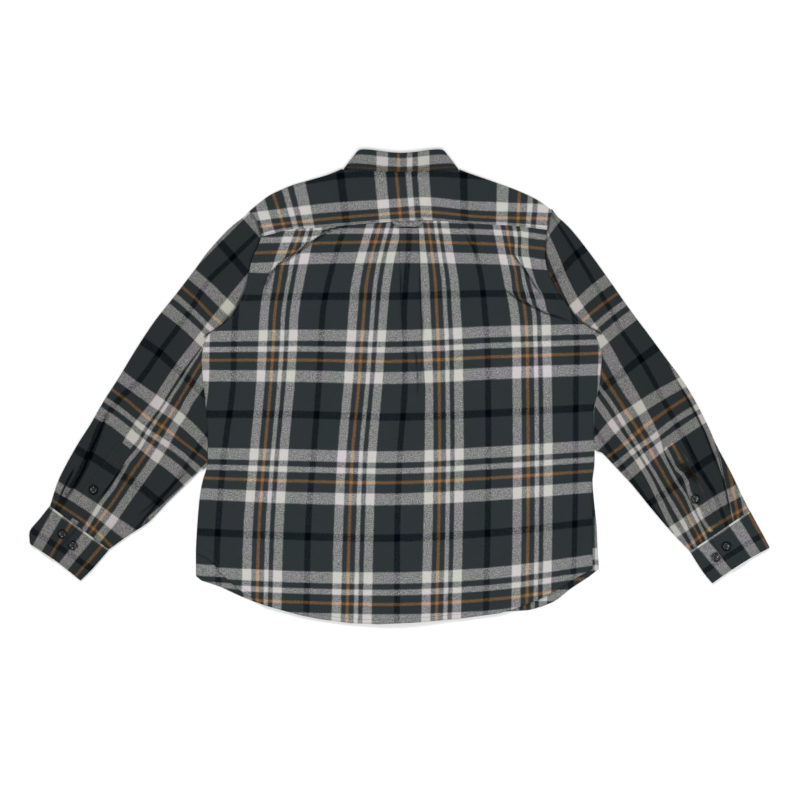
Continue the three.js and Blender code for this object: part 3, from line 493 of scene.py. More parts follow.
# Warp stripes of the back: where the middle of each lies at a level
BACK_WARP_VALUES = [-25.5, 4.5, 34.3, 63.8, 93.8, 123.6, 153.1, 183.1, 212.9, 242.4, 272.4, 302.2, 331.7]
BACK_WARP = [
    (228, 244.0, 284.0, 310.5, 345.0, 369.0, 398.0, 409.5, 419.5, 445.5, 471.5, 497.0, 524.5, 552.0),
    (255, 241.0, 273.5, 305.0, 336.0, 361.5, 391.5, 408.3, 422.5, 450.0, 476.2, 502.5, 528.5, 556.0),
    (280, 239.0, 269.0, 300.0, 329.0, 356.0, 387.3, 406.3, 424.8, 454.3, 481.5, 507.5, 536.5, 566.0),
    (310, 236.0, 264.5, 294.8, 323.0, 353.3, 384.0, 404.5, 426.0, 456.3, 484.7, 514.0, 544.7, 574.0),
    (345, 234.0, 262.5, 293.0, 320.8, 350.7, 381.5, 404.5, 427.5, 458.2, 487.5, 516.5, 546.5, 577.0),
    (380, 233.5, 260.5, 290.5, 319.0, 348.5, 378.8, 405.5, 428.4, 458.5, 488.0, 516.7, 547.5, 576.2),
    (450, 224.5, 254.5, 284.0, 314.0, 342.0, 372.5, 400.0, 429.0, 459.3, 488.4, 517.2, 548.3, 575.8),
    (520, 218.5, 248.5, 279.5, 308.5, 338.7, 369.7, 397.3, 428.2, 458.5, 487.8, 517.0, 548.3, 575.0),
    (610, 214.5, 246.0, 276.7, 306.5, 336.3, 367.3, 397.0, 425.8, 456.7, 486.0, 515.7, 547.0, 572.5),
]
# Weft stripes of the back: the level of the middle of each at five places across
BACK_WEFT_PLACES = [205, 300, 395, 500, 590]
BACK_WEFT = [
    (-114.75, 219.0, 216.5, 216.5, 219.5, 226.0),
    (-100.75, 233.0, 231.5, 231.2, 232.5, 240.0),
    (-89.5, 246.0, 243.7, 242.0, 244.5, 250.5),
    (-73.25, 262.0, 258.5, 257.2, 259.5, 266.0),
    (-35.25, 298.5, 296.5, 296.5, 293.5, 297.0),
    (5.75, 336.5, 335.0, 335.6, 331.2, 328.5),
    (47.25, 375.5, 376.2, 377.9, 373.0, 369.8),
    (85.25, 414.3, 414.6, 417.2, 413.0, 408.0),
    (126.25, 453.3, 455.0, 456.7, 451.5, 445.7),
    (167.75, 494.0, 498.0, 499.2, 494.2, 487.5),
    (205.75, 532.3, 536.5, 538.0, 532.3, 522.3),
    (246.75, 572.5, 576.8, 577.6, 572.2, 560.2),
    (272.0, 598.0, 602.3, 604.4, 598.6, 586.0),
    (288.25, 613.5, 618.0, 619.5, 615.0, 602.0),
]
# Box pleat: edges, cloth folded under each edge and height of the pleat's face, by level
PLEAT = [
    (224, 399.5, 418.0, 8.0, 2.6),
    (265, 400.2, 419.8, 8.0, 2.6),
    (300, 401.0, 420.6, 6.5, 2.6),
    (345, 403.0, 421.0, 4.0, 2.4),
    (380, 403.0, 420.5, 2.0, 1.4),
    (420, 403.5, 419.5, 0.0, 0.6),
    (625, 403.5, 419.5, 0.0, 0.0),
]

# Height of the back's face at its side edges
BACK_EDGE = 2.4
BACK_FOLDS = [
    crease([(340, 226), (326, 231), (313, 240), (300, 249.5), (290, 256.5), (278, 263), (270, 273),
        (264, 287), (259, 304)], 2.6, 1.3, 15, dark=0.6, shift=(5.2, 8.0), ends=(0.8, 0.0)),
    crease([(466, 232), (470, 240), (475, 247), (480, 262)], 1.7, 1.6, 9, side=-1, dark=0.4),
    crease([(507, 247), (514, 254), (521, 263), (529, 274), (537, 287), (546, 298)], 2.7, 1.3, 12,
        side=-1, dark=0.6, shift=(-3.0, 1.0)),
    crease([(500, 283), (509, 291), (518, 298), (530, 304), (546, 312), (562, 317), (576, 323)], 2.5, 1.4,
        13, side=-1, dark=0.6, shift=(-2.2, 1.0)),
    crease([(412, 340), (416, 358), (418, 382), (417, 405)], 0.9, 4, 9),
    crease([(415, 342), (417.5, 358), (419, 378), (418.5, 400)], 0.7, 1.2, 6, side=-1, dark=0.4),
    crease([(421, 264), (422, 285), (423, 310), (424.5, 342)], 0.5, 1.2, 4, side=-1, dark=0.55),
    crease([(398.5, 264), (399, 282), (400.5, 300), (402, 326)], 0.5, 1.2, 4, dark=0.4),
    crease([(248, 286), (262, 276), (270, 262)], 1.0, 5, 9),
    crease([(204, 372), (206, 392), (207, 414), (209, 440)], 0.8, 3, 8),
    crease([(198, 529), (203, 545), (213, 561)], 0.7, 3, 8, side=-1),
    crease([(592, 492), (584, 515), (577, 540), (573, 562)], 0.8, 3.5, 9),
    crease([(215, 470), (240, 480), (300, 482)], 0.5, 9, 12),
    crease([(560, 330), (500, 345), (450, 352)], 0.5, 9, 13),
    crease([(232, 345), (262, 380), (276, 430), (270, 480)], 0.7, 12, 14),
    crease([(560, 350), (528, 395), (515, 450), (522, 520)], 0.7, 12, 14),
    crease([(330, 300), (322, 360), (338, 440)], 0.6, 12, 14),
    crease([(455, 520), (440, 560), (446, 600)], 0.5, 9, 12),
    crease([(300, 540), (290, 575), (296, 606)], 0.5, 9, 12),
]


def leaf_share(x, y):
    """One where a front point of the collar lies under the cloth, fading to nothing round it."""
    return np.clip((91 - np.abs(x - CENTRE_X)) / 24, 0, 1) * np.clip((271 - y) / 18, 0, 1)


def back_height(x, y, edge):
    """Height of the back's face over the fronts and bands beneath it."""
    rise = smooth(edge / 26)
    centre = np.exp(-(((x - 402.5) / 29) ** 2))
    loft = lerp(4.0 + 1.36 * leaf_share(x, y), 6.9, centre)
    waves = 0.35 * ripple(x, y, 11, 30) + 0.12 * ripple(x, y, 12, 9)
    return BACK_EDGE + rise * (loft - BACK_EDGE + waves)


def warp_rows(x, y):
    """Warp value over the back: outside the pleat on each side, and on the pleat's face."""
    table = np.array(BACK_WARP)
    values = np.array(BACK_WARP_VALUES)
    at = np.moveaxis(spline(table[:, 0], table[:, 1:], y), -1, 0)
    together = smooth((y - 340) / 90)
    full = between(x, at, values, 1.02, 1.18)
    zones = (slice(0, 6), slice(6, 7), slice(7, 13))
    return [lerp(between(x, at[zone], values[zone], 1.02, 1.18), full, together) for zone in zones]


def weft_value(x, y, places, rows):
    table = np.array(rows)
    at = np.moveaxis(spline(places, table[:, 1:].T, x), -1, 0)
    return between(y, at, table[:, 0])


def make_back(material):
    rows = 212
    edges, down = edge_rows(ARMHOLE + SIDES, rows)
    left, right = edges[:, :2], edges[:, 2:]
    pleat = np.array(PLEAT)
    centre_y = lerp(left[:, 1], right[:, 1], 0.5)
    centre_y = centre_y + (1 - down) * (220.6 - centre_y[0]) + down * (623 - centre_y[-1])
    pl, pr, depth, rise = spline(pleat[:, 0], pleat[:, 1:], np.clip(centre_y, 224, 625)).T
    depth, rise = np.maximum(depth, 0), np.maximum(rise, 0)
    open_up = 1 - smooth(depth / 3)
    fold = [(-2.0, 0, 0), (0, 0.5, 0), (0, 1.0, 0), (0.45, 1.0, 0.25), (0, 1.0, 0.5), (0, 0.5, 0.5),
            (0, 0, 0.5), (-0.45, 0, 0.75), (0, 0, 1.0), (2.0, 0, 1.0)]
    even = np.linspace(-9, 7, len(fold))
    steps = np.arange(len(fold)) / (len(fold) - 1)
    sides = np.linspace(0, 1, 96) ** 0.9
    # Columns across the back: place, lift and zone. Zone 0 is left of the pleat, 1 its face, 2 right of it
    columns = []
    end_l = lerp(pl - 2.6, pl - 9.6, open_up)
    start_r = lerp(pr + 2.6, pr + 9.6, open_up)
    inner_l, inner_r = lerp(pl + 2.6, pl + 7.4, open_up), lerp(pr - 2.6, pr - 7.4, open_up)
    for share in sides:
        columns.append((lerp(left[:, 0], end_l, share), 0 * rise, (0, 0, 0.0)))
    for k, (off, deep, up) in enumerate(fold):
        lift = rise * lerp(up, smooth(steps[k]), open_up)
        columns.append((lerp(pl + off + deep * depth, pl + even[k], open_up), lift, (0, 1, steps[k])))
    for share in np.linspace(0, 1, 8):
        columns.append((lerp(inner_l, np.maximum(inner_r, inner_l + 0.5), share), rise, (1, 1, 0.0)))
    for k, (off, deep, up) in reversed(list(enumerate(fold))):
        lift = rise * lerp(up, smooth(steps[k]), open_up)
        columns.append((lerp(pr - off - deep * depth, pr - even[k], open_up), lift, (2, 1, steps[k])))
    for share in sides[::-1]:
        columns.append((lerp(right[:, 0], start_r, share), 0 * rise, (2, 2, 0.0)))
    x = layers(*(at for at, _, _ in columns))
    lift = layers(*(lift for _, lift, _ in columns))
    share = (x - left[:, :1]) / (right[:, :1] - left[:, :1])
    y = panel_y(share, left, right, down, yoke_seam_y, back_hem_y)
    edge = np.minimum(x - left[:, :1], right[:, :1] - x)
    height, dx, dy, foot = relief(x, y, BACK_FOLDS)
    z = back_height(x, y, edge) + height * smooth(edge / 14) + lift
    hem_gap = back_hem_y(x) - y
    z += 0.7 * smooth((5.0 - hem_gap) / 1.0) * smooth(down[:, None] * 3 - 1)
    z -= 1.1 * smooth((2.5 - (y - yoke_seam_y(x))) / 2.5)
    # The stripe values of the two zones meet inside each folded edge of the pleat
    tops = warp_rows(x - dx, y - dy)
    at_pl = warp_rows(np.broadcast_to(pl[:, None], x.shape), y)
    at_pr = warp_rows(np.broadcast_to(pr[:, None], x.shape), y)
    u = np.empty(x.shape)
    for k, (_, _, (a, b, f)) in enumerate(columns):
        if a == b:
            u[:, k] = tops[a][:, k]
        else:
            ends = at_pl if a == 0 else at_pr
            folded = lerp(ends[a][:, k], ends[b][:, k], smooth((f - 0.3) / 0.4))
            face = tops[a][:, k] if f < 0.3 else tops[b][:, k] if f > 0.7 else folded
            u[:, k] = lerp(face, tops[1][:, k], open_up)
    v = weft_value(x - dx, y - dy, BACK_WEFT_PLACES, BACK_WEFT)
    plan = layers(x, y, z)
    back = shell("back", plan, layers(u, v), up=(100, 20), foot=foot)
    stitch_line(inset_path(plan, "bottom", 4.0, 0.004, 0.996, 900))
    return finish_piece(back, material, "flannel", "back"), plan


def height_on(plan, x, y, spread=2.5):
    """Height of a grid's face near given places."""
    p = plan.reshape(-1, 3)
    x, y = np.asarray(x, float), np.asarray(y, float)
    out = np.empty(x.shape)
    for k in np.ndindex(x.shape):
        near = np.exp(-(((p[:, 0] - x[k]) ** 2 + (p[:, 1] - y[k]) ** 2) / spread**2))
        out[k] = (near * p[:, 2]).sum() / max(near.sum(), 1e-12)
    return out


# Fronts and bands

# Levels of the six front buttons, and the level where the weft of the left front starts
FRONT_LEVELS = [255.9 + 60.6 * k for k in range(6)]
FRONT_WEFT = 323.7
BAND_HALF = 10.6
COLLAR_LEAF = 1.7
BAND_WALL = 1.2
# Half width of the neck where the fronts meet the yoke
NECK_HALF = 44.2


def over_leaf(x, y):
    """How far the fronts are raised over the collar's front points."""
    return COLLAR_LEAF * smooth(leaf_share(x, y))


def button_bump(x, y):
    across = smooth((BAND_HALF - np.abs(x - CENTRE_X)) / 6)
    nearest = np.min([np.abs(y - level) for level in FRONT_LEVELS], axis=0)
    return 2.5 * across * smooth((12 - nearest) / 7.5)


def neck_front_y(x):
    return 219.5 - 50.9 * (np.abs(x - CENTRE_X) / 56.4) ** 2.2


def front_cloth(side, x, y):
    """Stripe values of a front panel."""
    if side < 0:
        return layers(20.0 + (262.0 - x), y - FRONT_WEFT - 0.07 * (x - 205))
    return layers(4.5 + (x - 515) * 1.06, y - 307.3)


def make_front(side, node, material):
    rows, cols = 100, 38
    edges, down = edge_rows(ARMHOLE + FRONT_SIDES, rows)
    outer = edges[:, :2] if side < 0 else edges[:, 2:]
    inner_x = CENTRE_X + side * (BAND_HALF + 0.2)

    def top_y(x):
        away = np.abs(x - CENTRE_X)
        beyond = (away - NECK_HALF) / (abs(outer[0, 0] - CENTRE_X) - NECK_HALF)
        straight = lerp(neck_front_y(CENTRE_X + NECK_HALF), outer[0, 1], beyond)
        return np.where(away < NECK_HALF, neck_front_y(x), straight) + 0.3

    inner = layers(inner_x, lerp(top_y(inner_x), front_hem_y(inner_x), down))
    share = np.linspace(0, 1, cols)[None, :]
    x = lerp(outer[:, :1], inner[:, :1], share)
    y = panel_y(share, outer, inner, down, top_y, front_hem_y)
    step = 1.5 * smooth((17 - (x - CENTRE_X)) / 5) if side > 0 else 0
    z = 1.1 + over_leaf(x, y) + step
    plan = layers(x, y, z)
    piece = shell(node, plan, front_cloth(side, x, y), up=(50, 10))
    below = plan.copy()
    below[..., 2] -= WALL
    stitch_line(inset_path(below, "bottom", 4.0, 0.01, 0.99, 400), lift=-0.01, below=True)
    return finish_piece(piece, material, "flannel", node)


def make_bands(material):
    """Placket and button band, one strip over the other down the centre front."""
    pieces = []
    for node, slot, base, wall in (
        ("placket", "flannel_band", 0.0, BAND_WALL),
        ("button_band", "flannel", 1.5, 1.0),
    ):
        share = np.linspace(-1, 1, 13)[None, :]
        x = CENTRE_X + BAND_HALF * share * np.ones((250, 1))
        down = np.linspace(0, 1, 250)[:, None]
        y = lerp(219.8, front_hem_y(x), down)
        z = base + wall + 0.1 + np.maximum(over_leaf(x, y), button_bump(x, y))
        plan = layers(x, y, z)
        uv = layers(x - CENTRE_X + 18.9, y - FRONT_WEFT - 13.0)
        piece = shell(node, plan, uv, wall=wall, up=(100, 6))
        below = plan.copy()
        below[..., 2] -= wall
        if node == "placket":
            for edge in ("left", "right"):
                stitch_line(inset_path(below, edge, 3.4, 0.004, 0.996, 700), lift=-0.01, below=True)
            for level in FRONT_LEVELS:
                for off in np.linspace(-0.55, 0.55, 4):
                    line = np.array([(CENTRE_X + off, level - 6.2, 0.0), (CENTRE_X + off, level + 6.2, 0.0)])
                    line[:, 2] = height_on(below, line[:, 0], line[:, 1])
                    stitch_line(line, pitch=0.7, length=0.62, lift=-0.01, width=0.3, below=True)
        pieces.append(finish_piece(piece, material, slot, node))
    return pieces


# Yoke

# Shoulder fold from the neck to the tip, on each side
SHOULDER_LEFT = [
    (250, 210.5), (260, 202.3), (270, 195), (280, 190.2), (290, 186), (310, 180), (330, 174), (342, 169),
]
SHOULDER_RIGHT = [(458, 169), (470, 173.6), (480, 177), (500, 184), (520, 191.5), (540, 201.5), (552, 210.5)]
YOKE_TIPS = (249.8, 552.2)
SEAM_ENDS = (262, 547)
NECK = (342.4, 459.6)
YOKE_V = [
    (value, [(top, 180), (low, 230)]) for value, top, low in (
        (167.75, 253.5, 268.5), (151.5, 268.5, 285), (140.25, 282, 296.5), (126.25, 299, 310),
        (85.25, 341, 347), (47.25, 381, 386), (31, 396.8, 401.5), (19.75, 409, 413.5),
        (5.75, 424, 428), (-35.25, 463.5, 464.5), (-73.25, 503, 501.5), (-89.5, 520, 517.5),
        (-100.75, 532, 528), (-114.75, 545, 541),
    )
]
YOKE_U = [
    (-25.5, [(265, 187), (310, 181), (345, 175.5), (400, 174.5), (430, 174), (470, 176), (540, 181)]),
    (4.5, [(265, 215), (310, 209.5), (340, 207), (380, 204.5), (400, 203), (425, 201.5), (440, 202.5),
        (460, 205), (500, 206.5), (540, 208)]),
    (15.0, [(265, 226), (310, 221), (340, 218), (380, 214.7), (400, 213.3), (425, 212), (440, 213),
        (480, 217), (540, 218.5)]),
    (23.4, [(265, 234.5), (285, 229.5), (310, 227.5), (340, 225), (400, 220.8), (430, 220), (460, 222.2),
        (500, 224), (540, 227)]),
]


def fold_y(x):
    left = spline(*np.array(SHOULDER_LEFT).T, np.minimum(x, 342))
    right = spline(*np.array(SHOULDER_RIGHT).T, np.maximum(x, 458))
    return np.where(x < CENTRE_X, left, right)


def make_yoke(material):
    xs = np.concatenate([np.linspace(YOKE_TIPS[0], NECK[0], 34), np.linspace(346, 454, 38),
                         np.linspace(NECK[1], YOKE_TIPS[1], 34)])
    neck = (np.arange(len(xs)) >= 34) & (np.arange(len(xs)) < 72)
    away = np.abs(xs - CENTRE_X) * UNIT
    top = lerp(7.7, 3.8, smooth((away - 95) / 130))
    floor = COLLAR_LEAF * smooth((150 - away) / 38) + 1.1 * smooth((112 - away) / 17)
    radius = (top - floor) / 2
    neck_y = CENTRE_Y - (356 + 2.5 * (away / 93) ** 2) / UNIT
    tip_x, end_x, neck_x = (np.where(xs < CENTRE_X, *ends) for ends in (YOKE_TIPS, SEAM_ENDS, NECK))
    seam_x = CENTRE_X + (xs - CENTRE_X) * (end_x - CENTRE_X) / (tip_x - CENTRE_X)
    seam_y = yoke_seam_y(seam_x) + 0.6
    tip = smooth((np.abs(xs - CENTRE_X) - 121) / 30)
    out_x = np.where(xs < CENTRE_X, 2.0, -0.5) / UNIT * tip
    out_y = -np.where(xs < CENTRE_X, 5.0, 3.0) / UNIT * tip
    fold = fold_y(xs)
    edge = np.minimum(xs - YOKE_TIPS[0], YOKE_TIPS[1] - xs)
    lifted = relief(seam_x, seam_y, BACK_FOLDS)[0] * smooth(edge / 14)
    pleat_rise = 2.9 * np.exp(-(((seam_x - 409) / 27) ** 2))
    low_z = back_height(seam_x, seam_y, edge) + pleat_rise + lifted
    # Rows from the yoke seam up to the shoulder fold, round it, and down to the seam of the front.
    # The places are the rows laid out flat, for the stripes
    points, places = [], []
    back_rows = 30
    for share in np.linspace(0, 1, back_rows):
        line = np.where(neck, neck_y, fold + radius / UNIT)
        bow = 4 * share * (1 - share)
        x = lerp(seam_x, xs, share) + out_x * bow
        y = lerp(seam_y, line, share) + out_y * bow
        z = lerp(low_z, np.where(neck, 7.7, top), smooth(share))
        z = z + smooth(bow) * smooth(edge / 10) * 0.3 * (ripple(x, y, 21, 22) + 0.6)
        points.append((x, y, z))
        places.append((x, y))
    for angle in np.radians(np.linspace(90, -90, 9)[1:]):
        y = np.where(neck, neck_y, fold + (radius - radius * np.cos(angle)) / UNIT)
        z = top - radius + radius * np.sin(angle)
        points.append((xs, y, z))
        places.append((xs, fold + (radius - (math.pi / 2 - angle) * radius) / UNIT))
    seam_share = (tip_x - xs) / (tip_x - neck_x)
    side = np.sign(xs - CENTRE_X)
    end_y = np.where(side < 0, 235.3, 229)
    high_x, high_y = CENTRE_X + side * NECK_HALF, neck_front_y(CENTRE_X + NECK_HALF)
    for share in np.linspace(0, 1, 17)[1:]:
        bow = 4 * share * (1 - share)
        x = lerp(xs, lerp(end_x, high_x, seam_share), share) + out_x * bow
        y = lerp(fold + radius / UNIT, lerp(end_y, high_y, seam_share), share) + out_y * bow
        z = lerp(floor, over_leaf(x, y), share)
        points.append((x, y, z))
        places.append((x, fold - (math.pi * radius / UNIT) + radius / UNIT - (y - fold)))
    plan = np.array(points).transpose(0, 2, 1)
    x, y = np.array(places).transpose(1, 0, 2)
    uv = layers(Stripes(YOKE_U, (1, 0))(x, y), Stripes(YOKE_V, (0, 1))(x, y))
    keep = np.ones(plan.shape[:2], bool)
    keep[back_rows - 1:, 33:72] = False
    yoke = shell("yoke", plan, uv, keep=keep, up=(10, 20))
    for inset in (1.0, 4.0):
        stitch_line(inset_path(plan[:back_rows], "top", inset, 0.004, 0.996, 900))
    return finish_piece(yoke, material, "flannel", "yoke"), plan[:back_rows]


# Sleeves

# Outer fold and lower fold of each sleeve from the armhole to the cuff
SLEEVE_EDGES = {-1: [
    ((249.8, 212.3), (204.5, 336.6)), ((229.2, 228.6), (202.3, 341)), ((208, 251.7), (200.5, 348.6)),
    ((195.9, 268), (201.0, 359.5)), ((175.9, 294.1), (202.4, 375.3)), ((157.1, 317.7), (205.0, 398)),
    ((145, 335), (206.5, 417)), ((132, 355.5), (207.6, 441)), ((120.1, 375.3), (206.8, 465.3)),
    ((112.3, 387.5), (199.5, 471)), ((104.9, 398.9), (189.5, 481)), ((97.4, 411.8), (178.2, 491.8)),
    ((89.8, 425), (166.8, 503)), ((75.3, 448), (148.6, 522)), ((58.9, 479), (128.6, 535.3)),
    ((49.8, 506.2), (109.2, 549.2)),
], 1: [
    ((552.8, 212.3), (601.1, 333.8)), ((570.4, 228.6), (602.2, 339)), ((589.8, 252.9), (602.3, 347)),
    ((609.8, 280.7), (602.2, 358)), ((629.8, 309.2), (600.8, 373)), ((649.8, 335.9), (598.6, 390)),
    ((668, 360.7), (594.4, 409)), ((677.6, 373.4), (594.3, 429)), ((686.8, 386.8), (594.7, 448.5)),
    ((695.3, 401), (602.5, 453.2)), ((703.1, 415.9), (611.5, 462.5)), ((710.3, 430.8), (622.3, 474)),
    ((717.1, 446.2), (633, 485.7)), ((731, 472.3), (651.4, 508.3)), ((741.9, 495.3), (671, 531.3)),
    ((749.8, 511), (689.8, 551)),
]}
ARM_LINE = {-1: [
    (249.8, 211), (257, 220), (262, 235), (258, 246), (253, 257), (250, 268), (248, 280), (244, 292),
    (236, 308), (222, 325), (205, 336.5),
], 1: [
    (552.2, 209.8), (549, 218), (547, 229), (545.5, 243), (545, 258), (549, 275), (556, 288), (563, 299),
    (573, 313), (585, 325), (601, 333.5),
]}
# Lengthwise and crosswise stripes of each sleeve
SLEEVE_U = {-1: [
    (93.8, [(245, 213), (241, 217), (196, 263), (178, 283), (150, 318)]),
    (63.8, [(258, 233), (233, 257), (208, 281), (190, 311), (160, 352), (140, 380), (118, 400),
        (104, 420), (93, 450), (80, 478), (62, 505)]),
    (34.3, [(241, 288), (234, 297), (227, 306), (218, 316), (209, 327), (199, 340), (191, 350),
        (183.5, 360), (176, 370), (169.5, 380), (163, 390), (157, 401), (148, 413), (139, 425),
        (131.5, 437), (123.7, 449.5), (113.5, 462), (107, 473), (101.3, 484), (87, 503)]),
    (29.8, [(246, 291), (240, 300), (232.5, 309.5), (223.5, 319.5), (214.5, 330.5), (204.5, 343.5),
        (196.5, 353.5), (189, 363.5), (181.5, 373.5), (175, 383.5), (168.5, 393.5), (162.5, 404.5),
        (153.5, 416.5), (144.5, 428.5), (137, 441), (129.7, 449.5), (119.4, 462), (113, 473),
        (107.3, 484), (93, 503)]),
    (23.4, [(220, 322), (209, 338), (201, 349), (194.5, 359), (188, 369), (181.5, 380), (175, 390),
        (168, 401), (159, 415), (148, 432), (138, 449.5), (127.7, 462), (121.4, 473), (115.7, 484),
        (101.5, 503), (92.5, 518)]),
    (15.0, [(226, 326), (209, 350), (199, 366), (192, 378), (186, 389), (179.5, 400), (173, 411),
        (162, 427), (150, 446), (142, 459), (133, 472), (124, 485), (113, 502), (101, 518), (92, 530)]),
    (4.5, [(203, 378), (196.5, 389), (188.5, 400), (182.5, 412), (176, 422), (165.5, 442), (156.5, 457),
        (146, 472), (137, 485), (123, 505), (112, 522), (100, 537)]),
    (-25.5, [(205, 440), (190, 462), (175, 484), (160, 502)]),
    (-55.0, [(193, 478), (168, 500), (142, 522)]),
], 1: [
    (-74.3, [(668, 318), (690, 361), (704, 391), (713, 420), (719, 440), (724, 450), (727.5, 460),
        (729.5, 470), (731.5, 480), (733.5, 490), (736, 503)]),
    (-69.5, [(662, 318), (677, 340), (690, 361), (695, 371), (698, 381), (702, 391), (706, 401),
        (710, 420), (715.2, 440), (718.5, 450), (721, 460), (722.6, 470), (724.6, 480), (727, 490),
        (730, 503)]),
    (-59.5, [(650, 318), (665, 340), (678, 361), (683, 371), (687, 381), (692, 391), (697.5, 401),
        (705, 420), (713.5, 440), (717, 450), (719.5, 460), (721.5, 470), (724.2, 480), (726.6, 490),
        (729.6, 503)]),
    (-50.5, [(640, 320), (655, 341), (668, 361), (672, 370), (677, 380), (684, 391), (691, 402),
        (700, 420), (708.5, 440), (712, 450), (716.5, 460), (720.2, 470), (723.8, 480), (726.2, 490),
        (729.2, 503)]),
    (-25.5, [(560, 227), (575, 250), (590, 275), (597, 287), (606, 302), (622, 332), (640, 358),
        (650, 375), (662, 398), (675, 422), (690, 450), (698, 466), (716, 495), (722, 510)]),
    (0.0, [(551, 238), (559.5, 257), (567.5, 277), (578, 297.5), (590.5, 317), (608.5, 342), (625.5, 372),
        (635.5, 389), (646, 408), (657, 430), (660.8, 440), (663.2, 450), (666.7, 460), (671.7, 470),
        (677, 480), (683.4, 490), (689, 500), (693.3, 510), (698.8, 520), (705, 533)]),
    (9.0, [(543, 244), (550.5, 263), (558.5, 283), (568, 302.5), (579.5, 323), (597.5, 348), (614.5, 378),
        (624.5, 395), (634.5, 409), (645.5, 430), (651.5, 440), (657.5, 450), (663.2, 460), (668.7, 470),
        (674.2, 480), (680.8, 490), (686.6, 500), (690.5, 510), (695.6, 520), (702, 533)]),
    (15.0, [(545, 265), (553, 280), (562, 297), (585, 340), (601, 372), (612, 390), (630, 418),
        (640, 433), (650, 450), (657, 463), (663.5, 474), (672.5, 490), (679, 500), (685, 510),
        (690, 520), (697.5, 534)]),
    (23.4, [(580, 350), (597, 384), (614, 407), (622, 421), (638, 447), (645, 459), (653, 471),
        (664, 490), (673, 505), (682, 520), (692, 540)]),
    (34.3, [(580, 372), (597, 404), (613, 427), (632, 452), (640, 464), (650, 482), (658, 500),
        (672, 530), (680, 540)]),
    (63.8, [(596, 430), (650, 503)]),
]}
SLEEVE_V = {-1: [
    (126.25, [(246, 214), (262, 232)]),
    (85.25, [(221, 243), (233, 257), (248, 275)]),
    (47.25, [(192, 275), (209, 289), (227, 306)]),
    (31.0, [(181, 286), (197, 300), (212, 316), (220, 323)]),
    (19.75, [(174, 295), (190, 309), (208, 326)]),
    (5.75, [(165, 308), (185, 324), (200, 338)]),
    (-35.25, [(141, 340), (160, 353), (175, 367)]),
    (-73.25, [(119, 376), (140, 391), (157, 402), (181, 419), (195, 432), (206, 445)]),
    (-89.5, [(110, 388), (128, 401), (147, 417), (163, 427), (180, 440), (200, 455)]),
    (-100.75, [(103, 398), (120, 410), (139, 425), (149, 433), (166, 443), (185, 457), (196, 467)]),
    (-114.75, [(97, 411), (115, 422), (133, 437), (157, 457), (175, 470), (187, 482)]),
    (-155.75, [(78, 448), (95, 458), (115, 471), (140, 486), (160, 502)]),
    (-193.75, [(57, 487), (75, 497), (92, 508), (112, 522), (130, 534)]),
    (-210.0, [(52, 500), (66, 509), (80, 518), (95, 530), (110, 545)]),
], 1: [
    (126.25, [(548, 228), (558, 214)]),
    (85.25, [(562, 270), (576, 255), (587, 247)]),
    (47.25, [(578, 305), (592, 292), (608, 280)]),
    (31.0, [(583, 320), (600, 306), (618, 293)]),
    (19.75, [(594, 328), (610, 314), (625, 303)]),
    (5.75, [(603, 340), (620, 326), (634, 315)]),
    (-35.25, [(622, 373), (640, 359), (657, 347)]),
    (-73.25, [(600, 440), (613, 425), (640, 407), (660, 395), (683, 383)]),
    (-89.5, [(610, 455), (625, 444), (640, 430), (660, 415), (690, 395)]),
    (-100.75, [(617, 464), (632, 452), (655, 437), (675, 421), (698, 407)]),
    (-114.75, [(628, 475), (640, 464), (660, 447), (685, 430), (703, 418)]),
    (-155.75, [(650, 503), (675, 486), (697, 467), (715, 455)]),
    (-193.75, [(672, 532), (690, 520), (702, 511), (720, 500), (740, 490)]),
    (-210.0, [(690, 545), (710, 529), (725, 520), (745, 508)]),
]}
SLEEVE_WAY = {-1: (-0.63, 0.777), 1: (0.63, 0.777)}
# Height of the flat tube at the armhole and past it
SLEEVE_HEIGHTS = (2.6, 3.4)


def weft_way(side):
    return SLEEVE_WAY[side][1] * side, -SLEEVE_WAY[side][0] * side


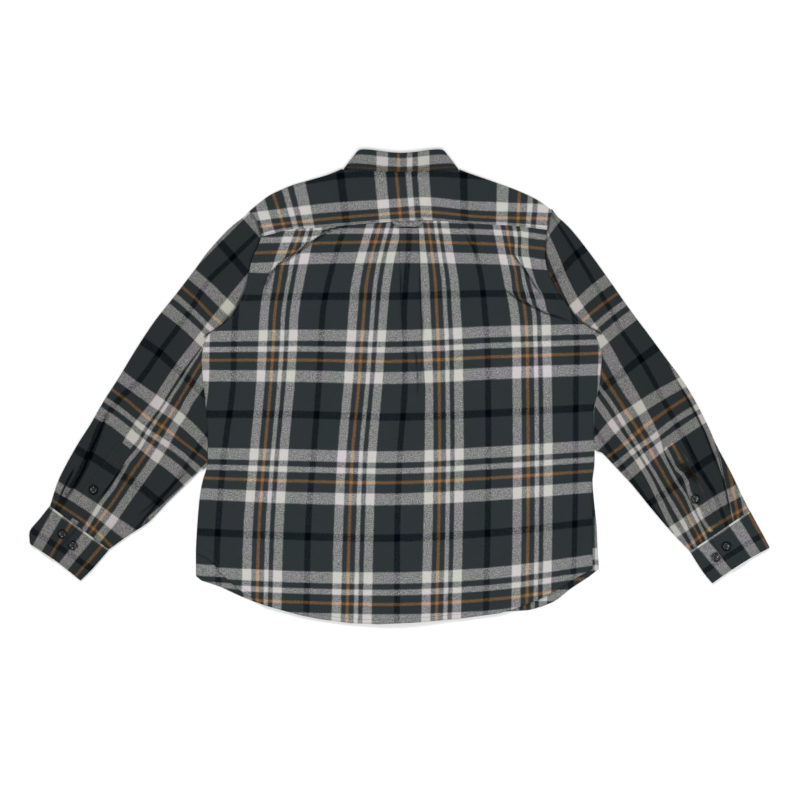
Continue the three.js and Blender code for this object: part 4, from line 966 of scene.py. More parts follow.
SLEEVE_FOLDS = {-1: [
    crease([(109, 407), (103, 421), (97, 435), (90, 450), (83, 468), (75, 483), (66, 496), (57, 505)],
        3.0, 1.2, 10, dark=0.95, shift=(-2.0, 1.0)),
    crease([(75, 465), (68, 478), (62, 490), (57, 503)], 2.2, 1.1, 5, dark=0.85),
    crease([(194, 467), (181, 479), (164, 495), (147, 510), (135, 520)], 1.6, 1.2, 5, side=-1, dark=0.5),
    crease([(128.5, 461), (118, 475.5), (108, 489.5), (98, 502.5)], 0.4, 1.0, 3, side=-1, dark=0.8),
    crease([(216, 262), (202, 288), (186, 318)], 0.9, 9, 9),
    crease([(160, 345), (140, 372), (118, 396)], 0.9, 9, 9),
    crease([(196, 350), (176, 395), (150, 430)], 0.8, 8, 8),
    crease([(92, 503), (86, 512), (82, 520)], 1.2, 1.0, 4, side=-1),
    crease([(120, 510), (108, 528), (98, 538)], 0.8, 3, 4),
    crease([(236, 236), (246, 262), (240, 290)], 0.8, 7, 8),
], 1: [
    crease([(672, 370), (690, 401), (706, 432), (719, 466), (728, 487)], 2.4, 1.1, 7, side=-1, dark=0.7),
    crease([(683, 436), (690, 451), (698, 466)], 2.0, 1.3, 6, dark=0.5),
    crease([(700, 467), (708, 480), (717, 495)], 2.0, 1.3, 6, side=-1, dark=0.5),
    crease([(699, 424), (708, 440), (713, 456)], 1.0, 1.2, 5, side=-1),
    crease([(722, 470), (724.6, 480), (727, 490), (729.6, 503), (732, 514)], 1.1, 1.1, 4, side=-1,
        dark=0.85),
    crease([(731, 489), (735, 500), (739, 511)], 1.1, 1.0, 4),
    crease([(741, 490), (745, 500), (748, 509)], 0.8, 1.0, 4, side=-1),
    crease([(575, 262), (600, 300), (618, 330)], 0.9, 9, 9),
    crease([(650, 352), (664, 380), (676, 410)], 0.8, 8, 9),
    crease([(612, 372), (640, 418), (656, 450)], 0.8, 8, 8),
    crease([(672, 508), (684, 525), (694, 543)], 1.0, 2.5, 5),
    crease([(560, 236), (556, 262), (570, 290)], 0.7, 7, 8),
]}


def make_sleeve(side, node, material):
    """One tube pressed flat: top face, lower fold, underside, outer fold."""
    rows, cols = 216, 108
    stations = np.array(SLEEVE_EDGES[side], float).reshape(-1, 4)
    along = np.linspace(0, 1, rows)
    edges = spline(np.linspace(0, 1, len(stations)), stations, along)
    outer, lower = edges[:, None, :2], edges[:, None, 2:]
    width = np.linalg.norm(lower - outer, axis=2, keepdims=True)
    across = (lower - outer) / width
    height = lerp(*SLEEVE_HEIGHTS, smooth(along / 0.09))[:, None]
    radius = height / 2 / UNIT
    arm = np.array(ARM_LINE[side])
    run = run_along(arm)
    run /= run[-1]
    # Shares across, closer together near the folded edges
    s = (1 - np.cos(np.linspace(0, math.pi, cols))) / 2 * 0.35 + np.linspace(0, 1, cols) * 0.65
    bow = spline(run, arm, s) - lerp(arm[0], arm[-1], s[:, None])
    inset = radius[..., None] + s[None, :, None] * (width - 2 * radius[..., None])
    top = outer + across * inset + bow[None] * (1 - along)[:, None, None] ** 6
    # The first row lies a little under the back, all along the armhole seam
    first = spline(run, arm, s)
    inward = np.gradient(first, axis=0)
    inward = layers(inward[:, 1], -inward[:, 0]) * -side
    inward /= np.linalg.norm(inward, axis=1, keepdims=True)
    middle = np.sin(math.pi * s)[:, None] ** 0.5
    seam = first + inward * 1.6 * middle
    weight = (1 - smooth(along / 0.02))[:, None, None]
    top = top + (seam - top[0])[None] * weight
    x, y = top[..., 0], top[..., 1]
    # Creases and the painted shade at their feet, soft waves, gathers at the cuff and the tuck under the back
    lift, dx, dy, foot = relief(x, y, SLEEVE_FOLDS[side])
    edge = np.minimum(s, 1 - s)[None] * width[..., 0]
    puff = 0.4 + 0.3 * ripple(x, y, 31 + side, 24) + 0.1 * ripple(x, y, 35 + side, 8)
    gathers = smooth((along - 0.9) / 0.1)[:, None] * 0.35 * np.sin(s * 61 + 2 * np.sin(s * 17))[None]
    rise = smooth(edge / 9) * smooth(along / 0.07)[:, None]
    tuck = (1 - smooth(along / 0.035))[:, None] * middle[None, :, 0]
    z = height + rise * (puff + lift + gathers) - 1.25 * tuck
    z = z - 0.9 * smooth((along - 0.985) / 0.015)[:, None] * smooth(edge / 5)
    warp = Stripes(SLEEVE_U[side], SLEEVE_WAY[side])
    weft = Stripes(SLEEVE_V[side], weft_way(side))
    u, v = warp(x - dx, y - dy), weft(x - dx, y - dy)
    turns = np.linspace(0, math.pi, 7)[1:-1]
    parts, cloth = [layers(x, y, z)], [layers(u, v)]

    def roll(middle, side_u, side_v, tops):
        """One folded edge of the tube, turn by turn."""
        for angle, level in zip(turns, tops):
            at = middle(np.sin(angle) * radius[..., None])
            parts.append(layers(at[..., 0], at[..., 1], level))
            cloth.append(layers(side_u, side_v))

    rounding = 1 + (z[:, -1:] - height) / height
    roll(lambda reach: top[:, -1:] + across * reach, u[:, -1:], v[:, -1:],
         [radius * UNIT * (1 + np.cos(a)) * (rounding if a < 1.5 else 1) for a in turns])
    under = np.arange(cols - 1, -1, -2)
    parts.append(layers(x[:, under], y[:, under], 0.0))
    cloth.append(layers(2 * u[:, :1] - u[:, under], v[:, under]))
    roll(lambda reach: top[:, :1] - across * reach, u[:, :1], v[:, :1],
         [radius * UNIT * (1 - np.cos(a)) for a in turns])
    plan, uv = np.concatenate(parts, axis=1), np.concatenate(cloth, axis=1)
    # Painted shade along the armhole seam, joined to the creases' painted shade and put on the top face only
    seam_gap = np.abs(near_path(x, y, ARM_LINE[side])[0])
    foot = np.maximum(foot, 0.6 * np.exp(-((seam_gap / 1.3) ** 2)))
    feet = np.zeros(plan.shape[:2])
    feet[:, :cols] = foot * smooth(edge / 3)
    piece = shell(node, plan, uv, ring=True, up=(rows // 2, cols // 2), foot=feet)
    return finish_piece(piece, material, "flannel", node), parts[0]


# Gauntlets: centre line from the point to the cuff, and half the width
GAUNTLETS = {
    -1: ([(125.5, 445.5), (121, 452), (111, 467), (101.5, 480.5), (92, 492), (84, 504), (74.8, 519)], 8.3),
    1: ([(669.5, 444.5), (673, 450), (679, 460), (686, 474), (694, 490), (703, 509), (713, 531)], 7.8),
}
GAUNTLET_RISE = 1.15
# The right gauntlet's light stripe runs in a zigzag beside its edge: its two sides and the line beside it
ZIGZAG = [
    (0.0, [(664, 449), (666.8, 455), (669, 460), (671, 465), (674.6, 470), (679, 473), (681.7, 476),
        (683.8, 480), (685.5, 485), (686.7, 490), (688.3, 495), (690, 500), (693, 505), (696.3, 510),
        (698.2, 515), (701, 520), (704, 525), (708, 530)]),
    (9.0, [(667.6, 449), (670.8, 455), (673.2, 460), (675.2, 465), (679, 470), (683, 473), (685.4, 476),
        (687.8, 480), (689, 485), (690.2, 490), (692.2, 495), (693.4, 500), (696.8, 505), (700, 510),
        (702, 515), (704.2, 520), (707.4, 525), (712, 530)]),
    (15.0, [(673.5, 446), (678.5, 455), (682, 463), (687, 469.5), (701, 480), (708, 490), (715, 502),
        (721, 513), (730, 530)]),
]


# Plan units from a button's middle to the darkest part of the painted shade ring round it
SHADE_RADIUS = 3.9


def button_shade(node, x, y):
    """Painted contact shadow: a dark ring round each button that lies on a node."""
    shade = np.zeros(np.shape(x))
    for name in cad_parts:
        if name.startswith("button_" + node):
            low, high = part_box(name)
            off_x = x - CENTRE_X - (low[0] + high[0]) * 500 / UNIT
            off_y = y - CENTRE_Y + (low[1] + high[1]) * 500 / UNIT
            gap = np.hypot(off_x, off_y) - SHADE_RADIUS
            shade = np.maximum(shade, 0.8 * np.exp(-((gap / 0.9) ** 2)))
    return shade


def gauntlet_cloth(side, x, y, across):
    """Stripe values on a gauntlet."""
    weft = Stripes(SLEEVE_V[side], weft_way(side))(x, y)
    if side < 0:
        return 51 + across * 0.8, weft
    return Stripes(ZIGZAG, SLEEVE_WAY[side], bent=False)(x, y), weft


def make_gauntlet(side, node, sleeve, material):
    path, half = GAUNTLETS[side]
    path = np.array(path, float)
    run = run_along(path)
    along = np.linspace(0, run[-1], 64)
    centre = spline(run, path, along)
    way = np.gradient(centre, axis=0)
    way /= np.linalg.norm(way, axis=1, keepdims=True)
    sideways = layers(-way[:, 1], way[:, 0]) * -side
    share = np.linspace(-1, 1, 15)
    point = smooth(along / 3 + 0.35)[:, None]
    xy = centre[:, None] + sideways[:, None] * (share[None, :, None] * half * np.sqrt(point)[..., None])
    x, y = xy[..., 0], xy[..., 1]
    z = height_on(sleeve, x, y) + GAUNTLET_RISE
    z -= 0.35 * smooth((np.abs(share) - 0.75) / 0.25)[None]
    plan = layers(x, y, z)
    u, v = gauntlet_cloth(side, x, y, share[None] * half + 0 * along[:, None])
    # Painted crease shade along the orange stripe of the right gauntlet, and painted contact shadow round the
    # button on each gauntlet
    toned = np.exp(-(((u - 15) / 3) ** 2)) * smooth((y - 460) / 7) * 0.7 * (side > 0)
    toned *= 1 - smooth((y - 478) / 8)
    toned = np.maximum(toned, button_shade(node, x, y))
    piece = shell(node, plan, layers(u, v), up=(30, 7), foot=toned)
    for edge in ("left", "right"):
        stitch_line(inset_path(plan, edge, 1.1, 0.04, 0.99, 300))
    for row in (14.0, 17.0):
        stitch_line(on_grid(plan, np.full(40, row), np.linspace(1, 13, 40)))
    return finish_piece(piece, material, "flannel_band", node)


# Cuffs: the two folded edges from the sleeve seam to the opening, and where one end laps the other
CUFFS = {
    -1: ([((49.5, 506.2), (108.8, 549.8)), ((39.5, 518.9), (100.1, 560.1)), ((29.8, 531), (91, 570.4)),
          ((29.6, 543.5), (80.7, 580.5))], 0.47),
    1: ([((750.2, 511), (690.2, 551.7)), ((757.1, 523.8), (697.1, 563)), ((763.7, 535.9), (704, 573.2)),
         ((769.8, 547.4), (712.2, 583.2))], 0.66),
}
CUFF_WALL = 1.8
# Crosswise stripes on the end that laps over and on the end beneath it
CUFF_STRIPES = {
    -1: ([(47.25, [(55.5, 516.5), (38, 547.5)]), (31.0, [(70, 525), (53, 552)])],
         [(47.25, [(88, 535.5), (66.5, 562.5)]), (31.0, [(100, 548), (76.5, 575)])], (-0.52, 0.854)),
    1: ([(31.0, [(750, 515), (768, 548)]), (47.25, [(732.5, 520.5), (755, 553.5)])],
        [(47.25, [(703.5, 544.5), (727.5, 571.5)]), (63.0, [(690, 556), (712, 583)])], (0.59, 0.807)),
}
# Heights of the end beneath and of the end that laps over, and the height that tells top from underside
CUFF_LEVELS = (3.9, 6.0)
CUFF_UPPER = 2.5
CUFF_UNDERLAP = 0.21
# Columns of the profile on the end that laps over, with its fold, and on the flat underside
CUFF_OVER = 9 + 4 + 6 + 7
CUFF_UNDERSIDE = 23


def cuff_profile(lap):
    """Share across and height of the cuff's outer face, from its upper end round to its lower end."""
    hidden = lap - CUFF_UNDERLAP
    under, over = CUFF_LEVELS
    path = [(share, over) for share in np.linspace(lap, hidden, 9)]
    for t in (0.25, 0.5, 0.75, 1):
        path.append((lerp(hidden, hidden - 0.1, t), lerp(over, under + 0.2, smooth(t))))
    path += [(share, under + 0.2) for share in np.linspace(hidden - 0.1, 0.035, 7)[1:]]
    half = (under + 0.2) / 2
    path += [(0.035 - 0.035 * math.sin(a), half + half * math.cos(a)) for a in np.linspace(0, math.pi, 8)[1:]]
    path += [(share, 0.0) for share in np.linspace(0.035, 0.965, 24)[1:]]
    half = under / 2
    path += [(0.965 + 0.035 * math.sin(a), half - half * math.cos(a)) for a in np.linspace(0, math.pi, 8)[1:]]
    path += [(share, under) for share in np.linspace(0.965, hidden, 20)[1:]]
    return np.array(path)


def make_cuff(side, node, material):
    stations, lap = CUFFS[side]
    rows = 36
    edges = spline(np.linspace(0, 1, 4), np.array(stations, float).reshape(4, 4), np.linspace(0, 1, rows))
    outer, lower = edges[:, None, :2], edges[:, None, 2:]
    path = cuff_profile(lap)
    share = path[None, :, 0]
    place = lerp(outer, lower, share[..., None])
    down = np.linspace(0, 1, rows)[:, None]
    x, y = place[..., 0], place[..., 1] - 1.8 * down**2 * np.sin(math.pi * share)
    z = path[None, :, 1]
    top = z > CUFF_UPPER
    rim = np.minimum(down, np.linspace(1, 0, rows)[:, None])
    z = z + np.where(top, 0.22 * ripple(x, y, 41 + side, 17), 0)
    z = z - np.where(top, 0.35 * (1 - smooth(rim / 0.05)), 0)
    plan = layers(x, y, z)
    across = share * np.linalg.norm(lower - outer, axis=2)
    column = np.arange(len(path))[None]
    over_lines, under_lines, way = CUFF_STRIPES[side]
    v = np.where(column < CUFF_OVER, Stripes(over_lines, way)(x, y), Stripes(under_lines, way)(x, y))
    v = np.where((column >= CUFF_OVER) & (column < CUFF_OVER + CUFF_UNDERSIDE), 110 - across, v)
    uv = layers(37.3 + 42 * down, v)
    # Painted contact shadow round the buttons, on the top face only
    shade = button_shade(node, x, y) * (z > CUFF_UPPER)
    piece = shell(node, plan, uv, wall=CUFF_WALL - 0.1, up=(rows // 2, 20), foot=shade)
    on_top = plan[:, :CUFF_OVER - 4]
    stitch_line(inset_path(on_top, "left", 2.0, 0.03, 0.97, 200))
    for edge in ("top", "bottom"):
        stitch_line(inset_path(on_top, edge, 2.4, 0.01, 0.99, 240))
        stitch_line(inset_path(plan[:, -20:], edge, 2.4, 0.01, 0.55, 200))
    return finish_piece(piece, material, "flannel_band", node)


# Collar: a flattened ring, the front half on the surface and the back half on top
COLLAR_RADIUS = 4.7
COLLAR_MIDDLE = 401.0
# Columns from the front opening round to the middle of the back: how far round, then the half width of
# the flat part and the level, at the top edge and at the free edge, in millimetres
FALL_COLUMNS = [
    (-90, 8, 305, 60, 238), (-90, 22, 311, 66, 241), (-90, 40, 329, 73, 264), (-90, 56, 349, 80, 298),
    (-90, 68, 367, 88, 338), (-90, 74.5, 373.5, 90.5, 350), (-45, 74.8, 378, 91.2, 356.5),
    (0, 71, 384, 91.2, 356.5), (45, 67, 389, 91, 356.5), (90, 63, 390.5, 89, 356.3),
    (90, 52, 390, 72, 355.8), (90, 38, 388.5, 50, 354.8),
    (90, 20, 386, 26, 353.4), (90, 0, 384.6, 0, 353),
]
STAND_COLUMNS = [
    (-90, -12, 297, -12, 275, 2.5), (-90, 12, 297, 12, 275, 2.0), (-90, 31, 311, 36, 285, 0.3),
    (-90, 47, 328, 55, 301, 0), (-90, 60, 345, 73, 324, 0), (-90, 67, 359, 84, 342, 0),
    (-45, 74.8, 370, 87.6, 358, 0), (0, 71, 376, 87.6, 360, 0), (45, 67, 380, 87.2, 360, 0),
    (90, 66, 382, 85, 358.8, 0), (90, 45, 380, 58, 357.7, 0), (90, 22, 378, 30, 357, 0),
    (90, 0, 377, 0, 356.7, 0),
]


def ring_columns(table, steps):
    """Columns of a half ring, filled in between the table's and mirrored to the other side."""
    rows = np.array(table, float)
    keys = np.arange(len(rows))
    t = np.linspace(0, len(rows) - 1, (len(rows) - 1) * steps + 1)
    half = spline(keys, rows, t)
    half[:, 0] = np.interp(t, keys, rows[:, 0])
    both = np.concatenate([half, half[::-1][1:]])
    sides = np.concatenate([-np.ones(len(half)), np.ones(len(half) - 1)])
    return both, sides


def ring_point(sides, turn, base, y, depth):
    angle = np.radians(turn)
    reach = COLLAR_RADIUS - depth
    x = COLLAR_MIDDLE + sides * (base + reach * np.cos(angle)) / UNIT
    return layers(x, CENTRE_Y - y / UNIT, COLLAR_RADIUS + reach * np.sin(angle))


def make_fall(material):
    columns, sides = ring_columns(FALL_COLUMNS, 10)
    turn, top_x, top_y, low_x, low_y = columns.T
    # Depth inside the ring, drop below the top edge and share of the way to the free edge
    sections = [(3.0, 8.0, 0), (3.0, 6.0, 0), (3.0, 4.0, 0), (3.0, 2.4, 0)]
    sections += [(1.5 + 1.5 * math.cos(a), 1.5 - 1.5 * math.sin(a), 0) for a in np.linspace(0, math.pi, 9)]
    sections += [(0.0, 1.5, share) for share in np.linspace(0.06, 0.985, 14)]
    points, drops = [], []
    for depth, drop, share in sections:
        y = lerp(top_y - (drop if share == 0 else 1.5 * (1 - share)), low_y, share)
        points.append(ring_point(sides, turn, lerp(top_x, low_x, share), y, depth))
        drops.append((top_y - y) / UNIT)
    plan = np.array(points)
    face = plan[-15:]
    bulge = 0.5 * np.sin(math.pi * np.linspace(0, 1, 15))[:, None]
    upper = turn > 45
    face[..., 2] += np.where(upper, 0.35 * ripple(face[..., 0], face[..., 1], 51, 19) * bulge, 0)
    run = np.linalg.norm(np.diff(plan * [1, 1, 1 / UNIT], axis=1), axis=2)
    run = np.concatenate([0 * run[:, :1], np.cumsum(run, axis=1)], axis=1)
    run -= run[:, run.shape[1] // 2][:, None]
    v = 429.45 - COLLAR_MIDDLE - run
    drops = np.array(drops)
    u = 4.5 + drops - 9.85 + 0.67 * np.maximum(drops - 14.1, 0)
    # Darkens the orange stripe on the collar's upper face, through the crease layer
    toned = 0.45 * np.exp(-(((u - 15) / 1.8) ** 2)) * upper
    middle = run.shape[1] // 2
    fall = shell("collar_fall", plan, layers(u, v), wall=1.2, up=(-6, middle), foot=toned)
    stitch_line(inset_path(plan, "bottom", 3.2, 0.02, 0.98, 1200))
    return finish_piece(fall, material, "flannel_band", "collar_fall")


def make_stand(material):
    columns, sides = ring_columns(STAND_COLUMNS, 8)
    turn, top_x, top_y, low_x, low_y, raised = columns.T
    raised = np.where(sides < 0, raised * 0.3, raised)
    share = np.linspace(0, 1, 9)[:, None]
    plan = ring_point(sides, turn, lerp(top_x, low_x, share), lerp(top_y, low_y, share), 1.65)
    plan[..., 2] += raised
    run = run_along(plan[4, :, :2])
    uv = layers(30 + 14 * share, run[None])
    stand = shell("collar_stand", plan, uv, wall=1.3, up=(4, len(run) // 2))
    for edge in ("top", "bottom"):
        stitch_line(inset_path(plan, edge, 1.2, 0.01, 0.99, 900), lift=0.0)
    return finish_piece(stand, material, "flannel_band", "collar_stand")


# Locker loop: a folded strip caught in the yoke seam at both ends
LOOP_PATH = [
    (392.8, 221.4), (395.5, 223.4), (399, 224.6), (409, 224.9), (417, 224.6), (420.3, 223.2), (422.6, 220.8),
]
LOOP_HALF = 2.05
LOOP_RISE = 1.6


def make_loop(yoke, back, material):
    path = np.array(LOOP_PATH)
    t = np.linspace(0, len(path) - 1, 60)
    centre = spline(np.arange(len(path)), path, t)
    under = np.concatenate([yoke.reshape(-1, 3), back[:40].reshape(-1, 3)])
    share = np.linspace(-1, 1, 9)
    grid_y = centre[:, None, 1] + share[None] * LOOP_HALF
    x = centre[:, None, 0] + 0 * grid_y
    arch = 0.9 * np.sin(math.pi * np.clip(t / (len(path) - 1), 0, 1))[:, None]
    z = np.maximum(height_on(under, x, grid_y, 1.6), height_on(yoke, x, grid_y, 1.6)) + LOOP_RISE + arch
    z -= 0.3 * share[None] ** 4
    plan = layers(x, grid_y, z)
    uv = layers(4.4 + share[None] * 1.9, 92 + np.linspace(0, 27, 60)[:, None])
    piece = shell("locker_loop", plan, uv, up=(30, 4))
    for col in (1.2, 6.8):
        stitch_line(on_grid(plan, np.linspace(1, 58, 120), np.full(120, col)))
    return finish_piece(piece, material, "flannel_band", "locker_loop")


# Buttons
BUTTON_RADIUS = 5.75
BUTTON_THICK = 2.2
BUTTON_SIDES = 48
# Holes and the thread that crosses them: sides, steps, and the place and radius of each hole
HOLE_SIDES = 20
HOLE_OFF = 1.25
HOLE_RADIUS = 0.72
THREAD_SIDES = 6
THREAD_STEPS = 8


def circle(count, radius, x=0.0, y=0.0):
    turns = [k / count * 2 * math.pi for k in range(count)]
    return [(x + radius * math.cos(a), y + radius * math.sin(a)) for a in turns]


def tube_faces(base, count, rings):
    """Faces between rings of points, each ring after the last."""
    faces = []
    for a in range(base, base + (rings - 1) * count, count):
        for k in range(count):
            n = (k + 1) % count
            faces.append((a + k, a + n, a + count + n, a + count + k))
    return faces


def button_mesh():
    """A four-hole button with a rounded rim and a dished face, in metres."""
    r, h = BUTTON_RADIUS, BUTTON_THICK
    profile = [
        (0.0, 0.0), (r - 1.3, 0.0), (r - 0.7, 0.15), (r - 0.2, 0.55), (r, 1.0), (r - 0.05, 1.4),
        (r - 0.3, 1.85), (r - 0.75, 2.12), (r - 1.2, h), (r - 1.6, 2.08), (r - 2.0, 1.78), (r - 2.3, 1.55),
        (r - 2.8, 1.48), (0.0, 1.42),
    ]
    around = BUTTON_SIDES
    rings = len(profile) - 2
    verts = [(0, 0, 0)]
    for radius, level in profile[1:-1]:
        verts += [(x, y, level) for x, y in circle(around, radius)]
    verts.append((0, 0, profile[-1][1]))
    faces = [(0, 1 + (k + 1) % around, 1 + k) for k in range(around)]
    faces += tube_faces(1, around, rings)
    a = 1 + (rings - 1) * around
    faces += [(a + k, a + (k + 1) % around, len(verts) - 1) for k in range(around)]
    blank = add_object("button_blank", raw_mesh("button_blank", np.array(verts) / 1000, faces))
    verts, faces = [], []
    for x, y in ((-1, -1), (-1, 1), (1, -1), (1, 1)):
        base = len(verts)
        for level in (-1, 4):
            verts += [(*p, level) for p in circle(HOLE_SIDES, HOLE_RADIUS, x * HOLE_OFF, y * HOLE_OFF)]
        faces += tube_faces(base, HOLE_SIDES, 2)
        faces.append(tuple(base + k for k in reversed(range(HOLE_SIDES))))
        faces.append(tuple(base + HOLE_SIDES + k for k in range(HOLE_SIDES)))
    cutter = add_object("button_holes", raw_mesh("button_holes", np.array(verts) / 1000, faces))
    cut = blank.modifiers.new("holes", "BOOLEAN")
    cut.object = cutter
    cut.operation = "DIFFERENCE"
    cut.solver = "EXACT"
    view = bpy.context.evaluated_depsgraph_get()
    result = bpy.data.meshes.new_from_object(blank.evaluated_get(view))
    for piece in (blank, cutter):
        bpy.data.objects.remove(piece)
    return result


def button_threads(place, verts, faces):
    """Adds two crossed pairs of threads over the holes of one button."""
    start = len(verts)
    for line in ((1, 1), (1, -1)):
        end = np.array(line) * HOLE_OFF
        n = np.array([-line[1], line[0]]) / math.sqrt(2)
        for off in (-0.2, 0.2):
            base = len(verts)
            for k in range(THREAD_STEPS + 1):
                t = k / THREAD_STEPS
                level = 1.55 + 0.35 * math.sin(math.pi * t) - (0.9 if k in (0, THREAD_STEPS) else 0)
                for across, up in circle(THREAD_SIDES, 0.2):
                    q = lerp(end, -end, t) + n * (off + across)
                    verts.append((q[0], q[1], level + up))
            faces += tube_faces(base, THREAD_SIDES, THREAD_STEPS + 1)
            faces.append([base + c for c in reversed(range(THREAD_SIDES))])
            faces.append([base + THREAD_STEPS * THREAD_SIDES + c for c in range(THREAD_SIDES)])
    verts[start:] = place(np.array(verts[start:]) / 1000).tolist()


def make_buttons(plastic, thread):
    shape = button_mesh()
    names = [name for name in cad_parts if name.startswith("button_") and name != "button_band"]
    verts, faces = [], []
    for number, name in enumerate(sorted(names)):
        low, high = (np.array(corner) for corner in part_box(name))
        middle = (low + high) / 2
        turn = 0.35 + number * 0.83
        ct, st = math.cos(turn), math.sin(turn)
        face_down = name.startswith("button_front") or name == "button_stand"

        def place(points):
            x, y, z = points.T
            points = layers(x * ct - y * st, x * st + y * ct, z)
            if face_down:
                points = points * [1, -1, -1] + [0, 0, BUTTON_THICK / 1000]
            return points + [middle[0], middle[1], low[2]]

        mesh = shape.copy()
        co = np.empty(len(mesh.vertices) * 3)
        mesh.vertices.foreach_get("co", co)
        mesh.vertices.foreach_set("co", place(co.reshape(-1, 3)).ravel())
        mesh.update()
        shade_smooth(mesh)
        mesh.set_sharp_from_angle(angle=math.radians(40))
        finish_piece(add_object(name + "_disc", mesh), plastic, "button_plastic", name)
        button_threads(place, verts, faces)
    mesh = raw_mesh("button_threads", verts, faces)
    shade_smooth(mesh)
    finish_piece(add_object("button_threads", mesh), thread, "flannel")
    bpy.data.meshes.remove(shape)


# Materials

# Yarn colours as seen, red, green and blue of 255
CHARCOAL = (51, 56, 58)
LIGHT = (204, 201, 196)
NAVY = (10, 16, 21)
ORANGE = (160, 110, 66)
YARN_TONE = 0.903
STRIPE_SHIFT = 6.0
# Where each stripe of one repeat starts and ends
WARP_STRIPES = [
    (0, 9, LIGHT), (13.5, 16.5, ORANGE), (21.3, 25.5, LIGHT), (29.8, 38.8, LIGHT), (60.8, 66.8, NAVY),
]
WEFT_STRIPES = [
    (0, 11.5, LIGHT), (17, 22.5, LIGHT), (29.5, 32.5, ORANGE), (41.5, 53, LIGHT), (81.5, 89, NAVY),
]
# Millimetres of cloth between the ribs of the weave
TWILL_PITCH = 1.1


class Nodes:
    """Short calls for a material's nodes."""

    def __init__(self, name):
        self.material = bpy.data.materials.new(name)
        self.material.use_nodes = True
        self.tree = self.material.node_tree
        self.shader = self.tree.nodes["Principled BSDF"]

    def add(self, kind, **settings):
        node = self.tree.nodes.new(kind)
        for key, value in settings.items():
            setattr(node, key, value)
        return node

    def link(self, source, target):
        self.tree.links.new(source, target)

    def put(self, value, socket):
        if isinstance(value, bpy.types.NodeSocket):
            self.link(value, socket)
        else:
            socket.default_value = value

    def math(self, operation, *values):
        node = self.add("ShaderNodeMath", operation=operation)
        for value, socket in zip(values, node.inputs):
            self.put(value, socket)
        return node.outputs[0]

    def plus(self, base, value, factor):
        """A base and a value times a factor."""
        return self.math("ADD", base, self.math("MULTIPLY", value, factor))

    def clamp(self, value):
        return self.math("MINIMUM", self.math("MAXIMUM", value, 0.0), 1.0)

    def noise(self, vector, scale, detail=2.0, rough=0.5, stretch=None):
        if stretch:
            node = self.add("ShaderNodeMapping")
            node.inputs["Scale"].default_value = stretch
            self.link(vector, node.inputs["Vector"])
            vector = node.outputs[0]
        node = self.add("ShaderNodeTexNoise")
        self.link(vector, node.inputs["Vector"])
        node.inputs["Scale"].default_value = scale
        node.inputs["Detail"].default_value = detail
        node.inputs["Roughness"].default_value = rough
        return node.outputs["Fac"]

    def mix(self, factor, a, b, blend="MIX"):
        node = self.add("ShaderNodeMix", data_type="RGBA", blend_type=blend)
        self.put(factor, node.inputs["Factor"])
        self.put(a, node.inputs["A"])
        self.put(b, node.inputs["B"])
        return node.outputs["Result"]

    def bump(self, height, strength, distance):
        node = self.add("ShaderNodeBump")
        node.inputs["Strength"].default_value = strength
        node.inputs["Distance"].default_value = distance
        self.link(height, node.inputs["Height"])
        self.link(node.outputs["Normal"], self.shader.inputs["Normal"])

    def set(self, **values):
        for name, value in values.items():
            self.put(value, self.shader.inputs[name.replace("_", " ")])

    def object_place(self):
        return self.add("ShaderNodeTexCoord").outputs["Object"]


def tone(colour, scale=YARN_TONE):
    return [c / 255 * scale for c in colour] + [1.0]


def stripe_ramp(n, place, repeat, stripes):
    """Yarn colour by the place across one repeat."""
    shifted = n.math("FRACT", n.math("DIVIDE", n.math("ADD", place, STRIPE_SHIFT), repeat))
    node = n.add("ShaderNodeValToRGB")
    ramp = node.color_ramp
    soft = 0.6 / repeat
    for element in ramp.elements:
        element.color = tone(CHARCOAL)
    for start, end, colour in stripes:
        a, b = (start + STRIPE_SHIFT) / repeat, (end + STRIPE_SHIFT) / repeat
        stops = ((a - soft, CHARCOAL), (a + soft, colour), (b - soft, colour), (b + soft, CHARCOAL))
        for position, shade in stops:
            ramp.elements.new(position).color = tone(shade)
    n.link(shifted, node.inputs["Fac"])
    return node.outputs["Color"]


